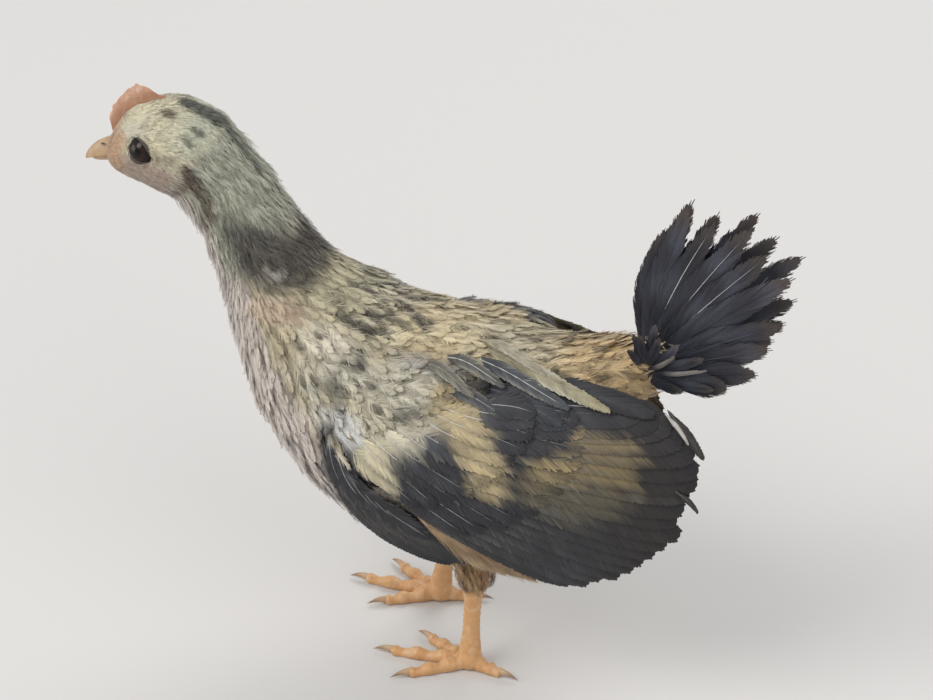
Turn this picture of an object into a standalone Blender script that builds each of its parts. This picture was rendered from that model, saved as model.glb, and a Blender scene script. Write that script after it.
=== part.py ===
"""A young serama chicken, life size, standing still: the solids of its body, legs, wings and tail.

Every size is in millimetres and is turned into metres when a mesh is made. The floor is z = 0,
the bird faces -X, its left side is -Y, and the origin lies on the floor under the middle of its box.
"""

import math
import random

import bmesh
import bpy
import numpy as np
from mathutils import Matrix, Vector

MM = 0.001
GAP = 0.3  # clear space between two nodes that meet
SIDES = {"left": -1, "right": 1}

# The body is a loft. Each section is where it crosses the back line and the belly line in side view,
# as (x, z), and half its width.
SECTIONS = {
    "tail stub end": ((58.5, 104.5), (59.5, 99.5), 1.6),
    "tail stub": ((51.0, 100.5), (54.5, 88.5), 5.5),
    "tail root": ((43.5, 97.0), (49.5, 81.0), 9.5),
    "rump": ((36.0, 94.8), (44.5, 61.0), 16.0),
    "vent": ((26.0, 93.5), (33.5, 39.5), 22.0),
    "hips": ((12.5, 93.8), (15.5, 30.5), 25.7),
    "back": ((-1.5, 95.5), (-4.0, 28.5), 27.0),
    "shoulders": ((-14.0, 98.0), (-23.5, 34.0), 26.6),
    "crop": ((-24.0, 101.0), (-40.0, 46.5), 24.5),
    "breast": ((-31.0, 104.3), (-52.0, 63.5), 20.5),
    "neck base": ((-36.0, 108.3), (-58.5, 82.0), 16.5),
    "low neck": ((-40.7, 114.6), (-62.0, 95.0), 13.6),
    "mid neck": ((-46.0, 122.3), (-66.0, 106.5), 12.1),
    "high neck": ((-51.8, 130.2), (-70.5, 113.5), 11.6),
    "nape": ((-58.8, 138.0), (-75.0, 117.0), 11.6),
    "crown": ((-68.0, 142.4), (-80.0, 119.0), 11.3),
    "brow": ((-77.0, 142.3), (-84.5, 120.0), 10.0),
    "forehead": ((-84.5, 137.8), (-88.0, 121.5), 7.4),
    "beak base": ((-88.8, 131.0), (-89.6, 123.2), 4.4),
}
RING_SIDES = 26
RINGS_PER_SECTION = 2

# Head
EYE_AT = (-78.2, 132.2)  # x, z
EYE_RADIUS = 3.6
EYE_STANDS_OUT = 0.9
LID_WIDTH = 0.75
EAR_AT = (-70.8, 126.6)
EAR_RADIUS = 1.9
BEAK_TIP = (-97.2, 123.4)
BEAK_DEPTH = 7.0
BEAK_WIDTH = 6.4
NOSTRIL_AT = (-89.6, 128.6)
COMB_HEIGHT = 3.6
COMB_THICKNESS = 2.0
COMB_POINTS = 6

# Wings, in side view. A pad is a cushion: centre, half-length, half-width, heading and how far its outer
# face lies under the wing's shell. The right wing is folded a little tighter than the left one.
SECONDARY_ROOTS = ((13.0, 86.0), (-21.0, 68.0))  # first and last
ARM_PAD = ((-4.0, 76.0), 26.0, 12.5, 29.0, 0.8)
HAND_PAD = ((-16.5, 56.0), 11.0, 6.0, -48.0, 3.2)
SECONDARY_TIPS = {  # a quadratic curve from the uppermost feather down
    "left": ((59.0, 88.0), (84.0, 50.5), (33.5, 37.5)),
    "right": ((42.0, 83.0), (57.0, 54.0), (29.0, 40.0)),
}
PRIMARY_ROOTS = ((-10.5, 54.0), (-20.0, 58.0))  # first and last
PRIMARY_TIPS = ((12.0, 38.5), (12.0, 33.0), (3.5, 31.5))
# Tiers of wing feathers: how many, share of the way from the flight feather's root to its tip, how far the
# roots are moved back along the feather, half-width, how far from the shell, least room from the flank
SECONDARY_TIER = (9, 1.00, 3.0, 5.7, -1.5, 2.8)
GREATER_COVERT_TIER = (9, 0.56, 1.0, 4.6, -0.3, 4.0)
MEDIAN_COVERT_TIER = (7, 0.33, -3.0, 4.2, 0.9, 5.2)
PRIMARY_TIER = (5, 1.00, 0.0, 3.1, -4.9, 1.6)
PRIMARY_COVERT_TIER = (4, 0.50, -2.0, 2.7, -3.8, 2.8)
SHINGLE = 0.2  # how steeply a wing feather tilts, its lower edge outwards
PRIMARY_SHINGLE = 0.3

# Legs. The right leg stands a step in front of the left one.
HIP_Y = 12.9
THIGH_TOP = (3.0, 50.0)
HOCK = {"left": (8.0, 29.5), "right": (-6.0, 29.0)}
ANKLE_X = {"left": 6.8, "right": -9.5}
ANKLE_Z = 4.0
SHANK_RADIUS = 2.1
TOES = {  # name: (heading from straight ahead, outwards, in degrees; length without its claw)
    "middle": (3.0, 20.0),
    "inner": (-29.0, 14.0),
    "outer": (34.0, 15.5),
    "hind": (168.0, 8.5),
}
TOE_RADIUS = 1.9
CLAW_LENGTH = 4.6

# Tail, in side view: tips of the feathers of each half, from the steepest down, and where they start
TAIL_TIPS = (
    (56.0, 135.5), (63.5, 133.5), (71.0, 133.8), (76.5, 129.5), (82.0, 123.8), (81.0, 113.5), (79.0, 104.0),
    (73.5, 96.0),
)
TAIL_ROOT = (46.8, 91.5)
TAIL_FEATHER_HALF_WIDTH = 5.0
TAIL_LAYER = 1.05  # from one feather to the next, sideways
TAIL_COVERTS = 3
TAIL_COVERT_LENGTH = 22.0
FEATHER_THICKNESS = 0.6

COLOURS = {  # sRGB colour, roughness
    "cream_down": ("CFC4A4", 0.9),
    "grey_down": ("7C7D6C", 0.9),
    "black_feather": ("2B2C31", 0.65),
    "beak_horn": ("D9A066", 0.45),
    "comb_skin": ("D08A6C", 0.55),
    "eye": ("1C120A", 0.1),
    "leg_skin": ("D59A5C", 0.5),
    "claw_horn": ("8C7A66", 0.4),
}


def clear_scene():
    for thing in list(bpy.data.objects):
        bpy.data.objects.remove(thing, do_unlink=True)


def new_collection(name, hidden=False):
    made = bpy.data.collections.new(name)
    made.hide_render = hidden
    bpy.context.scene.collection.children.link(made)
    return made


def linear(channel):
    return channel / 12.92 if channel <= 0.04045 else ((channel + 0.055) / 1.055) ** 2.4


def material(name):
    if name in bpy.data.materials:
        return bpy.data.materials[name]
    code, roughness = COLOURS[name]
    rgb = [linear(int(code[i : i + 2], 16) / 255) for i in (0, 2, 4)]
    made = bpy.data.materials.new(name)
    made.use_nodes = True
    shader = made.node_tree.nodes["Principled BSDF"]
    shader.inputs["Base Color"].default_value = (*rgb, 1)
    shader.inputs["Roughness"].default_value = roughness
    shader.inputs["Metallic"].default_value = 0
    return made


def add_object(name, mesh_maker, collection, finish):
    """Turns a bmesh in millimetres into a named object in metres."""
    bmesh.ops.triangulate(mesh_maker, faces=mesh_maker.faces[:])
    bmesh.ops.recalc_face_normals(mesh_maker, faces=mesh_maker.faces[:])
    bmesh.ops.scale(mesh_maker, vec=(MM, MM, MM), verts=mesh_maker.verts[:])
    mesh = bpy.data.meshes.new(name)
    mesh_maker.to_mesh(mesh)
    mesh_maker.free()
    mesh.shade_smooth()
    mesh.set_sharp_from_angle(angle=math.radians(50))
    if finish:
        mesh.materials.append(material(finish))
    made = bpy.data.objects.new(name, mesh)
    collection.objects.link(made)
    return made


def boolean(target, others, operation, solver):
    """Applies one Boolean of target with a collection of closed objects, then removes them."""
    group = bpy.data.collections.new("operands")
    for other in others:
        for held_in in list(other.users_collection):
            held_in.objects.unlink(other)
        group.objects.link(other)
    bpy.context.scene.collection.children.link(group)
    step = target.modifiers.new("join", "BOOLEAN")
    step.operand_type = "COLLECTION"
    step.collection = group
    step.operation = operation
    step.solver = solver
    graph = bpy.context.evaluated_depsgraph_get()
    result = bpy.data.meshes.new_from_object(target.evaluated_get(graph))
    target.modifiers.clear()
    old = target.data
    target.data = result
    result.name = old.name
    bpy.data.meshes.remove(old)
    for other in others:
        bpy.data.objects.remove(other, do_unlink=True)
    bpy.data.collections.remove(group)
    keep_one_body(target)


def keep_one_body(target):
    """Drops every closed surface of an object but the largest, and joins the flat splinters of the rest."""
    shape = bmesh.new()
    shape.from_mesh(target.data)
    unseen = set(shape.verts)
    islands = []
    while unseen:
        island, edge_of = set(), [unseen.pop()]
        while edge_of:
            vert = edge_of.pop()
            island.add(vert)
            for edge in vert.link_edges:
                other = edge.other_vert(vert)
                if other in unseen:
                    unseen.discard(other)
                    edge_of.append(other)
        islands.append(island)
    islands.sort(key=len)
    for island in islands[:-1]:
        bmesh.ops.delete(shape, geom=list(island), context="VERTS")
    bmesh.ops.dissolve_limit(shape, angle_limit=math.radians(0.3), verts=shape.verts[:], edges=shape.edges[:])
    bmesh.ops.triangulate(shape, faces=shape.faces[:])
    shape.to_mesh(target.data)
    shape.free()


def union(target, others, solver="EXACT"):
    boolean(target, others, "UNION", solver)
    return target


def cut(target, others, solver="EXACT"):
    boolean(target, others, "DIFFERENCE", solver)
    return target


def smooth_rows(rows, per_span):
    """Rows of numbers with more rows between them, on a Catmull-Rom curve through all of them."""
    rows = np.array(rows, float)
    padded = np.vstack([2 * rows[0] - rows[1], rows, 2 * rows[-1] - rows[-2]])
    made = []
    for i in range(len(rows) - 1):
        a, b, c, d = padded[i : i + 4]
        for step in range(per_span):
            t = step / per_span
            made.append(
                0.5 * (2 * b + (c - a) * t + (2 * a - 5 * b + 4 * c - d) * t**2 + (3 * b - a - 3 * c + d) * t**3)
            )
    made.append(rows[-1])
    return np.array(made)


SECTION_NAMES = list(SECTIONS)
PROFILE = smooth_rows([(*back, *belly, half) for back, belly, half in SECTIONS.values()], RINGS_PER_SECTION)


def profile_index(name):
    return SECTION_NAMES.index(name) * RINGS_PER_SECTION


def body_ring(index, inflate=0.0, shift=0.0):
    """One elliptical section of the body as points, grown by inflate and moved along its normal by shift."""
    back_x, back_z, belly_x, belly_z, half_width = PROFILE[index]
    back, belly = Vector((back_x, 0, back_z)), Vector((belly_x, 0, belly_z))
    centre, up = (back + belly) / 2, (back - belly) / 2
    up *= 1 + inflate / up.length
    centre += Vector((-up.z, 0, up.x)).normalized() * shift
    ring = []
    for i in range(RING_SIDES):
        angle = 2 * math.pi * i / RING_SIDES
        ring.append(centre + up * math.cos(angle) + Vector((0, (half_width + inflate) * math.sin(angle), 0)))
    return ring


def loft(rings):
    """A closed skin over rings of points, with a flat cap at each end."""
    shape = bmesh.new()
    made = [[shape.verts.new(point) for point in ring] for ring in rings]
    count = len(made[0])
    for low, high in zip(made, made[1:]):
        for i in range(count):
            j = (i + 1) % count
            shape.faces.new((low[i], low[j], high[j], high[i]))
    shape.faces.new(made[0])
    shape.faces.new(made[-1])
    return shape


def body_loft(first, last, inflate=0.0, open_first=False, open_last=False):
    """The body from one named section to another. An open end is drawn back half a gap for its neighbour."""
    start, stop = profile_index(first), profile_index(last)
    rings = [body_ring(i, inflate) for i in range(start, stop + 1)]
    if open_first:
        rings[0] = body_ring(start, inflate, shift=GAP / 2)
    if open_last:
        rings[-1] = body_ring(stop, inflate, shift=-GAP / 2)
    return loft(rings)


def flank(x, z):
    """Half the body's width at a place in side view, or 0 outside its outline."""
    backs, bellies, halves = PROFILE[:, 0:2], PROFILE[:, 2:4], PROFILE[:, 4]
    ups = backs - bellies
    side = ups[:, 0] * (z - bellies[:, 1]) - ups[:, 1] * (x - bellies[:, 0])
    for i in range(len(side) - 1):
        if (side[i] <= 0) != (side[i + 1] <= 0):
            share = side[i] / (side[i] - side[i + 1])
            row = PROFILE[i] + (PROFILE[i + 1] - PROFILE[i]) * share
            up = np.array((row[0] - row[2], row[1] - row[3]))
            along = np.dot((x - row[2], z - row[3]), up) / np.dot(up, up) * 2 - 1
            if abs(along) < 1:
                return row[4] * math.sqrt(1 - along * along)
    return 0.0


def tube(points, radii, sides=12, floor=None):
    """A round tube through points, with a radius at each, its underside flattened at the floor level."""
    rings = []
    points = [Vector(p) for p in points]
    for i, (point, radius) in enumerate(zip(points, radii)):
        ahead = points[min(i + 1, len(points) - 1)] - points[max(i - 1, 0)]
        across = ahead.cross(Vector((0, 0, 1)))
        if across.length < 0.2 * ahead.length:
            across = ahead.cross(Vector((0, 1, 0)))
        across.normalize()
        up = across.cross(ahead).normalized()
        ring = []
        for k in range(sides):
            angle = 2 * math.pi * (k + 0.5) / sides
            place = point + (across * math.cos(angle) + up * math.sin(angle)) * radius
            if floor is not None:
                place.z = max(place.z, floor)
            ring.append(place)
        rings.append(ring)
    return loft(rings)


def ball(centre, radii, segments=16):
    shape = bmesh.new()
    bmesh.ops.create_uvsphere(shape, u_segments=segments, v_segments=segments // 2, radius=1)
    bmesh.ops.scale(shape, vec=radii, verts=shape.verts[:])
    bmesh.ops.translate(shape, vec=centre, verts=shape.verts[:])
    return shape


def curve_point(corners, t):
    """A point on the quadratic curve with these three control points."""
    a, b, c = (np.array(corner, float) for corner in corners)
    return a * (1 - t) ** 2 + 2 * b * t * (1 - t) + c * t * t


# ---------------------------------------------------------------- feathers

# Half-width of a feather along its length, as shares of its length and of its full half-width
LONG_OUTLINE = ((0.0, 0.2), (0.24, 0.52), (0.5, 0.88), (0.82, 1.0), (1.0, 0.32))
SHORT_OUTLINE = ((0.0, 0.25), (0.4, 0.85), (0.78, 0.95), (1.0, 0.25))


def vane(root, tip, half_width, place, bend=0.0, stations=LONG_OUTLINE):
    """A flat feather from root to tip in side view, with a thin rim and a thinner tip.

    place(x, z, along, across) gives the point in space for a point of its middle sheet. The two faces are
    split into the same triangles, so that they stay a constant distance apart.
    """
    root, tip = np.array(root, float), np.array(tip, float)
    ahead = tip - root
    length = float(np.hypot(*ahead))
    across = np.array((ahead[1], -ahead[0])) / length
    shape = bmesh.new()
    top, bottom = [], []
    for along, width in stations:
        centre = root + ahead * along + across * bend * math.sin(math.pi * along)
        thickness = FEATHER_THICKNESS * (1 if along < 0.8 else 0.5 + 0.5 * (1 - along) / 0.2)
        upper, lower = [], []
        for side in (-1, 0, 1):
            offset = side * width * half_width
            x, z = centre + across * offset
            half = (0.5 if side == 0 else 0.42) * thickness
            point = place(x, z, along, offset)
            away = Vector((0, math.copysign(half, point.y), 0))
            upper.append(shape.verts.new(point + away))
            lower.append(shape.verts.new(point - away))
        top.append(upper)
        bottom.append(lower)
    for i in range(len(stations) - 1):
        for k in (0, 1):
            for sheet in (top, bottom):
                a, b = sheet[i][k], sheet[i][k + 1]
                c, d = sheet[i + 1][k + 1], sheet[i + 1][k]
                shape.faces.new((a, b, c))
                shape.faces.new((a, c, d))
        for k in (0, 2):
            shape.faces.new((top[i][k], top[i + 1][k], bottom[i + 1][k]))
            shape.faces.new((top[i][k], bottom[i + 1][k], bottom[i][k]))
    for i in (0, len(stations) - 1):
        for k in (0, 1):
            shape.faces.new((top[i][k], top[i][k + 1], bottom[i][k + 1]))
            shape.faces.new((top[i][k], bottom[i][k + 1], bottom[i][k]))
    return shape


# ---------------------------------------------------------------- wings


def wing_shell(x, z):
    """How far the folded wing's outer face stands from the middle plane, at a place in side view."""
    behind, before = max(x, 0.0) / 70, max(-10 - x, 0.0) / 17
    half = 31.5 - 13 * behind**1.6 - 1.5 * before**2
    middle = 66 + 8 * behind
    reach = 31.5 - 4.5 * behind + 5 * before if z > middle else 54
    return half * math.sqrt(max(0.05, 1 - ((z - middle) / reach) ** 2))


def wing_layer(x, z, lift, clear):
    """Where a sheet of feathers lies: lift from the shell, but never nearer to the flank than clear."""
    return max(wing_shell(x, z) + lift, flank(x, z) + clear)


def wing_pad(side, centre, along, across, heading, depth, inflate=0.0):
    """A cushion that starts just inside the flank, its outer face lying depth inside the wing's shell."""
    shape = bmesh.new()
    bmesh.ops.create_uvsphere(shape, u_segments=20, v_segments=6, radius=1)
    turn = math.radians(heading)
    along, across = along + inflate, across + inflate
    for vert in shape.verts:
        a, b, c = vert.co
        x = centre[0] + a * along * math.cos(turn) - b * across * math.sin(turn)
        z = centre[1] + a * along * math.sin(turn) + b * across * math.cos(turn)
        inner = flank(x, z) - 1.0
        outer = max(wing_shell(x, z) - depth, inner + 2.5) + inflate
        share = max(c, 0.0) ** 0.6
        y = inner if c < -0.01 else inner + 2.0 + (outer - inner - 2.0) * share
        vert.co = (x, side * y, z)
    return shape


def wing_tier(side_name, roots, tips, tier, shingle, draw, collection):
    """One tier of wing feathers as separate solids, ready to be joined to their cushion."""
    count, reach, back, half_width, lift, clear = tier
    side = SIDES[side_name]
    made = []

    def place(x, z, along, across):
        sunk = 1.3 * max(0.0, 1 - along / 0.2)
        return Vector((x, side * (wing_layer(x, z, lift, clear) - sunk + shingle * across), z))

    for i in range(count):
        q = i / (count - 1)
        root = np.array(roots[0]) * (1 - q) + np.array(roots[1]) * q
        tip = curve_point(tips, q)
        ahead = (tip - root) / np.hypot(*(tip - root))
        tip = root + (tip - root) * reach * (1 + draw.uniform(-0.035, 0.035))
        tip += np.array((ahead[1], -ahead[0])) * draw.uniform(-0.4, 0.4)
        root = root + ahead * back
        wide = half_width * (1 + draw.uniform(-0.06, 0.06))
        stations = LONG_OUTLINE if reach > 0.6 else SHORT_OUTLINE
        made.append(add_object("feather", vane(root, tip, wide, place, -0.8, stations), collection, None))
    return made


def trunk_cutter(collection):
    return add_object("trunk", body_loft("tail root", "neck base", inflate=GAP), collection, None)


def make_wing(side_name, collection):
    side = SIDES[side_name]
    draw = random.Random(f"wing {side_name}")
    arm = add_object(f"wing_{side_name}_arm", wing_pad(side, *ARM_PAD), collection, "cream_down")
    cut(arm, [trunk_cutter(collection)], "MANIFOLD")
    feathers = []
    for tier in (SECONDARY_TIER, GREATER_COVERT_TIER, MEDIAN_COVERT_TIER):
        feathers += wing_tier(side_name, SECONDARY_ROOTS, SECONDARY_TIPS[side_name], tier, SHINGLE, draw, collection)
    union(arm, feathers, "MANIFOLD")

    hand = add_object(f"wing_{side_name}_hand", wing_pad(side, *HAND_PAD), collection, "black_feather")
    feathers = []
    for tier in (PRIMARY_TIER, PRIMARY_COVERT_TIER):
        feathers += wing_tier(side_name, PRIMARY_ROOTS, PRIMARY_TIPS, tier, PRIMARY_SHINGLE, draw, collection)
    union(hand, feathers, "MANIFOLD")
    cut(hand, [trunk_cutter(collection)], "MANIFOLD")
    cut(hand, [add_object("arm", wing_pad(side, *ARM_PAD, GAP), collection, None)], "MANIFOLD")


# ---------------------------------------------------------------- tail


def tail_feathers(collection):
    """Both halves of the fan, from the pair that stands steepest outwards to the lowest, and their coverts."""
    draw = random.Random("tail")
    made = []
    for side in SIDES.values():
        for i, tip in enumerate(TAIL_TIPS):
            layer = 0.9 + TAIL_LAYER * i

            def place(x, z, along, across):
                return Vector((x, side * layer * (0.74 + 0.26 * along), z))

            tip = (tip[0] + draw.uniform(-0.6, 0.6), tip[1] + draw.uniform(-0.6, 0.6))
            wide = TAIL_FEATHER_HALF_WIDTH * (1 + draw.uniform(-0.07, 0.07))
            feather = vane(TAIL_ROOT, tip, wide, place, bend=-1.9 + 0.38 * i)
            made.append(add_object("feather", feather, collection, None))
        outermost = 0.9 + TAIL_LAYER * (len(TAIL_TIPS) - 1)
        for i in range(TAIL_COVERTS):
            layer = outermost + 0.5 + 0.85 * (i % 2)

            def place(x, z, along, across):
                return Vector((x, side * (layer - 2.6 * max(0.0, 1 - along / 0.42)), z))

            angle = math.radians(84 - 30 * i + draw.uniform(-2, 2))
            length = TAIL_COVERT_LENGTH * (1 + draw.uniform(-0.1, 0.1))
            tip = (TAIL_ROOT[0] + length * math.cos(angle), TAIL_ROOT[1] + length * math.sin(angle))
            made.append(add_object("feather", vane(TAIL_ROOT, tip, 4.0, place, 0.0, SHORT_OUTLINE), collection, None))
    return made


# ---------------------------------------------------------------- head


def surface_normal(x, z, side):
    """The way the body's side faces at a place in side view."""
    step = 0.5
    slope_x = (flank(x + step, z) - flank(x - step, z)) / (2 * step)
    slope_z = (flank(x, z + step) - flank(x, z - step)) / (2 * step)
    return Vector((-slope_x, side, -slope_z)).normalized()


def ring_on(centre, normal, radius, thickness, squash=1.0, segments=16, sides=5):
    """A round bead, such as an eyelid's edge, standing on a surface."""
    points = []
    across = normal.cross(Vector((0, 0, 1))).normalized()
    up = across.cross(normal).normalized()
    shape = bmesh.new()
    rings = []
    for i in range(segments):
        angle = 2 * math.pi * i / segments
        out = across * math.cos(angle) + up * math.sin(angle) * squash
        middle = centre + out * radius
        ring = []
        for k in range(sides):
            turn = 2 * math.pi * k / sides
            ring.append(middle + (out.normalized() * math.cos(turn) + normal * math.sin(turn)) * thickness)
        rings.append([shape.verts.new(p) for p in ring])
    for i in range(segments):
        low, high = rings[i], rings[(i + 1) % segments]
        for k in range(sides):
            j = (k + 1) % sides
            shape.faces.new((low[k], low[j], high[j], high[k]))
    return shape


def make_head(collection):
    head = add_object("head", body_loft("nape", "beak base", open_first=True), collection, "cream_down")
    beads, sockets = [], []
    for side_name, side in SIDES.items():
        x, z = EYE_AT
        normal = surface_normal(x, z, side)
        on_skin = Vector((x, side * flank(x, z), z))
        centre = on_skin - normal * (EYE_RADIUS - EYE_STANDS_OUT)
        add_object(f"eye_{side_name}", ball(centre, (EYE_RADIUS,) * 3), collection, "eye")
        sockets.append(add_object("socket", ball(centre, (EYE_RADIUS + GAP,) * 3), collection, None))
        beads.append(
            add_object("lid", ring_on(on_skin, normal, EYE_RADIUS * 0.93, LID_WIDTH, 0.92), collection, None)
        )
        x, z = EAR_AT
        normal = surface_normal(x, z, side)
        on_skin = Vector((x, side * flank(x, z), z))
        beads.append(add_object("ear", ring_on(on_skin, normal, EAR_RADIUS, 0.6, 1.25, 10, 4), collection, None))
        sockets.append(
            add_object("ear hole", ball(on_skin + normal * 0.5, (1.1, 1.1, 1.5), 8), collection, None)
        )
    union(head, beads)
    cut(head, sockets)


def beak_half(upper):
    """One half of the beak: a loft from inside the face to the tip, flat along the line of the mouth."""
    base_x, tip = -85.0, BEAK_TIP
    mouth = [np.array(p) for p in ((base_x, 125.6), (-91.5, 124.6), (tip[0] + 0.6, tip[1] + 0.2))]
    rings = []
    steps = 9
    for i in range(steps):
        t = i / (steps - 1)
        x, z = curve_point(mouth, t)
        fall = math.sqrt(max(0.0, 1 - t**1.9))
        if upper:
            width = BEAK_WIDTH / 2 * max(fall, 0.13)
            rise = (BEAK_DEPTH * 0.66) * max(fall, 0.12) * (1 if t < 0.9 else 0.8)
            hook = -1.0 * max(0.0, t - 0.75) / 0.25
            bottom, z_low = 0.0, z + 0.15 + hook
        else:
            x = base_x + (x - base_x) * 0.86
            z = curve_point(mouth, t * 0.86)[1]
            width = BEAK_WIDTH / 2 * 0.86 * max(fall, 0.16)
            rise = -(BEAK_DEPTH * 0.36) * max(fall, 0.2)
            z_low = z - 0.15
        ring = []
        for k in range(11):
            angle = math.pi * k / 10
            ring.append(Vector((x, width * math.cos(angle), z_low + rise * math.sin(angle) ** 0.9)))
        rings.append(ring)
    return loft(rings)


def make_beak(collection):
    upper = add_object("beak_upper", beak_half(True), collection, "beak_horn")
    lower = add_object("beak_lower", beak_half(False), collection, "beak_horn")
    face = "crown", "beak base"
    cut(upper, [add_object("face", body_loft(*face, inflate=GAP), collection, None)])
    cut(lower, [add_object("face", body_loft(*face, inflate=GAP), collection, None)])
    nostrils = []
    for side in SIDES.values():
        nostrils.append(
            add_object("nostril", ball((NOSTRIL_AT[0] - 1.6, side * 2.6, NOSTRIL_AT[1] - 1.6), (1.0, 1.0, 0.45), 10), collection, None)
        )
    cut(upper, nostrils)


def make_comb(collection):
    """A low single comb: a thin blade that follows the forehead, with a row of small points."""
    start, stop = profile_index("crown") + 1, profile_index("beak base")
    line = [Vector((PROFILE[i][0], 0, PROFILE[i][1])) for i in range(start, stop + 1)]
    samples = 4 * COMB_POINTS
    outline_top, outline_root = [], []
    for i in range(samples + 1):
        share = i / samples
        place = share * (len(line) - 1)
        k = min(int(place), len(line) - 2)
        base = line[k].lerp(line[k + 1], place - k)
        along = line[k + 1] - line[k]
        out = Vector((along.z, 0, -along.x)).normalized()
        tooth = 1 - abs((share * COMB_POINTS) % 1 * 2 - 1)
        height = COMB_HEIGHT * math.sin(math.pi * min(1, 0.10 + share * 0.86)) ** 0.7 * (0.66 + 0.34 * tooth)
        outline_top.append(base + out * height)
        outline_root.append(base - out * 1.2)
    rings = []
    for top, root in zip(outline_top, outline_root):
        ring = []
        for share, half in ((0, 1.0), (0.55, 0.85), (1, 0.35)):
            place = root.lerp(top, share)
            ring.append(place + Vector((0, COMB_THICKNESS / 2 * half, 0)))
        for share, half in ((1, 0.35), (0.55, 0.85), (0, 1.0)):
            place = root.lerp(top, share)
            ring.append(place - Vector((0, COMB_THICKNESS / 2 * half, 0)))
        rings.append(ring)
    comb = add_object("comb", loft(rings), collection, "comb_skin")
    cut(comb, [add_object("face", body_loft("high neck", "beak base", inflate=GAP), collection, None)])


# ---------------------------------------------------------------- legs


def drumstick(side_name, inflate=0.0):
    """The feathered thigh as a tapered tube down to the hock."""
    y = SIDES[side_name] * HIP_Y
    top, hock = Vector((THIGH_TOP[0], y, THIGH_TOP[1])), Vector((HOCK[side_name][0], y, HOCK[side_name][1]))
    points = [top.lerp(hock, share) for share in (-0.10, 0.10, 0.30, 0.50, 0.68, 0.84, 1.0)]
    points[-1] += (hock - top).normalized() * inflate
    radii = [radius + inflate for radius in (7.5, 9.2, 9.2, 8.2, 6.6, 4.9, 3.9)]
    return tube(points, radii, 18)


def make_leg(side_name, collection):
    side = SIDES[side_name]
    y = side * HIP_Y
    thigh = add_object(f"thigh_{side_name}", drumstick(side_name), collection, "cream_down")
    cut(thigh, [trunk_cutter(collection)])

    hock_x, hock_z = HOCK[side_name]
    top, foot_at = Vector((hock_x, y, hock_z + 1.5)), Vector((ANKLE_X[side_name], y, ANKLE_Z))
    shank_points = [top.lerp(foot_at, share) for share in (0.0, 0.14, 0.28, 0.5, 0.86)]
    shank_radii = [3.3, 3.2, SHANK_RADIUS + 0.35, SHANK_RADIUS, SHANK_RADIUS + 0.35]
    shank = add_object(f"shank_{side_name}", tube(shank_points, shank_radii, 14), collection, "leg_skin")
    cut(shank, [add_object("thigh", drumstick(side_name, GAP), collection, None)])

    foot = add_object(f"foot_{side_name}", tube(
        [top.lerp(foot_at, 0.86) - Vector((0, 0, GAP)), foot_at, foot_at - Vector((0, 0, 3.2))],
        [SHANK_RADIUS + 0.35, 2.9, 3.1], 12, floor=0.0), collection, "leg_skin")
    toes = []
    for toe_name, (heading, length) in TOES.items():
        turn = math.radians(heading)
        ahead = Vector((-math.cos(turn), side * math.sin(turn), 0))
        centre = Vector((ANKLE_X[side_name], y, 0))
        toe_points, toe_radii = [], []
        for i in range(7):
            t = i / 6
            reach = 0.5 + length * t
            swell = 0.22 * math.cos(6 * math.pi * t)
            radius = TOE_RADIUS * (1 - 0.33 * t) + swell
            toe_points.append(centre + ahead * reach + Vector((0, 0, radius - 0.35 + 1.2 * max(0, 0.3 - t))))
            toe_radii.append(radius)
        toes.append(add_object("toe", tube(toe_points, toe_radii, 8, floor=0.0), collection, None))
        end = toe_points[-1]
        base = TOE_RADIUS * 0.67 * 0.8
        claw_points, claw_radii = [], []
        for i in range(6):
            t = i / 5
            drop = end.z * 0.15 + 0.35 * math.sin(math.pi * t) - (end.z * 0.62) * t * t
            claw_points.append(end + ahead * (GAP + CLAW_LENGTH * t) + Vector((0, 0, drop)))
            claw_radii.append(max(0.22, base * (1 - t**1.3)))
        add_object(
            f"claw_{side_name}_{toe_name}", tube(claw_points, claw_radii, 8, floor=0.0), collection, "claw_horn"
        )
    union(foot, toes)


def settle(collection):
    """Moves every node alike, so that the box round the bird stands on the floor over the origin."""
    points = [vert.co for thing in collection.objects for vert in thing.data.vertices]
    low = [min(point[i] for point in points) for i in range(3)]
    high = [max(point[i] for point in points) for i in range(3)]
    shift = Vector((-(low[0] + high[0]) / 2, -(low[1] + high[1]) / 2, -low[2]))
    for thing in collection.objects:
        thing.data.transform(Matrix.Translation(shift))
    print("moved by", [round(value / MM, 3) for value in shift], "mm")


def main():
    clear_scene()
    bird = new_collection("serama_chicken")
    add_object("torso", body_loft("tail root", "neck base", open_first=True, open_last=True), bird, "cream_down")
    add_object("neck", body_loft("neck base", "nape", open_first=True, open_last=True), bird, "grey_down")
    make_head(bird)
    make_beak(bird)
    make_comb(bird)
    for side_name in SIDES:
        make_leg(side_name, bird)
        make_wing(side_name, bird)
    tail = add_object("tail", body_loft("tail stub end", "tail root", open_last=True), bird, "black_feather")
    union(tail, tail_feathers(bird), "MANIFOLD")
    settle(bird)


main()
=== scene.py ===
import math

import bmesh
import bpy
import numpy as np
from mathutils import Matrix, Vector
from mathutils.bvhtree import BVHTree
from mathutils.kdtree import KDTree


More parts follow.
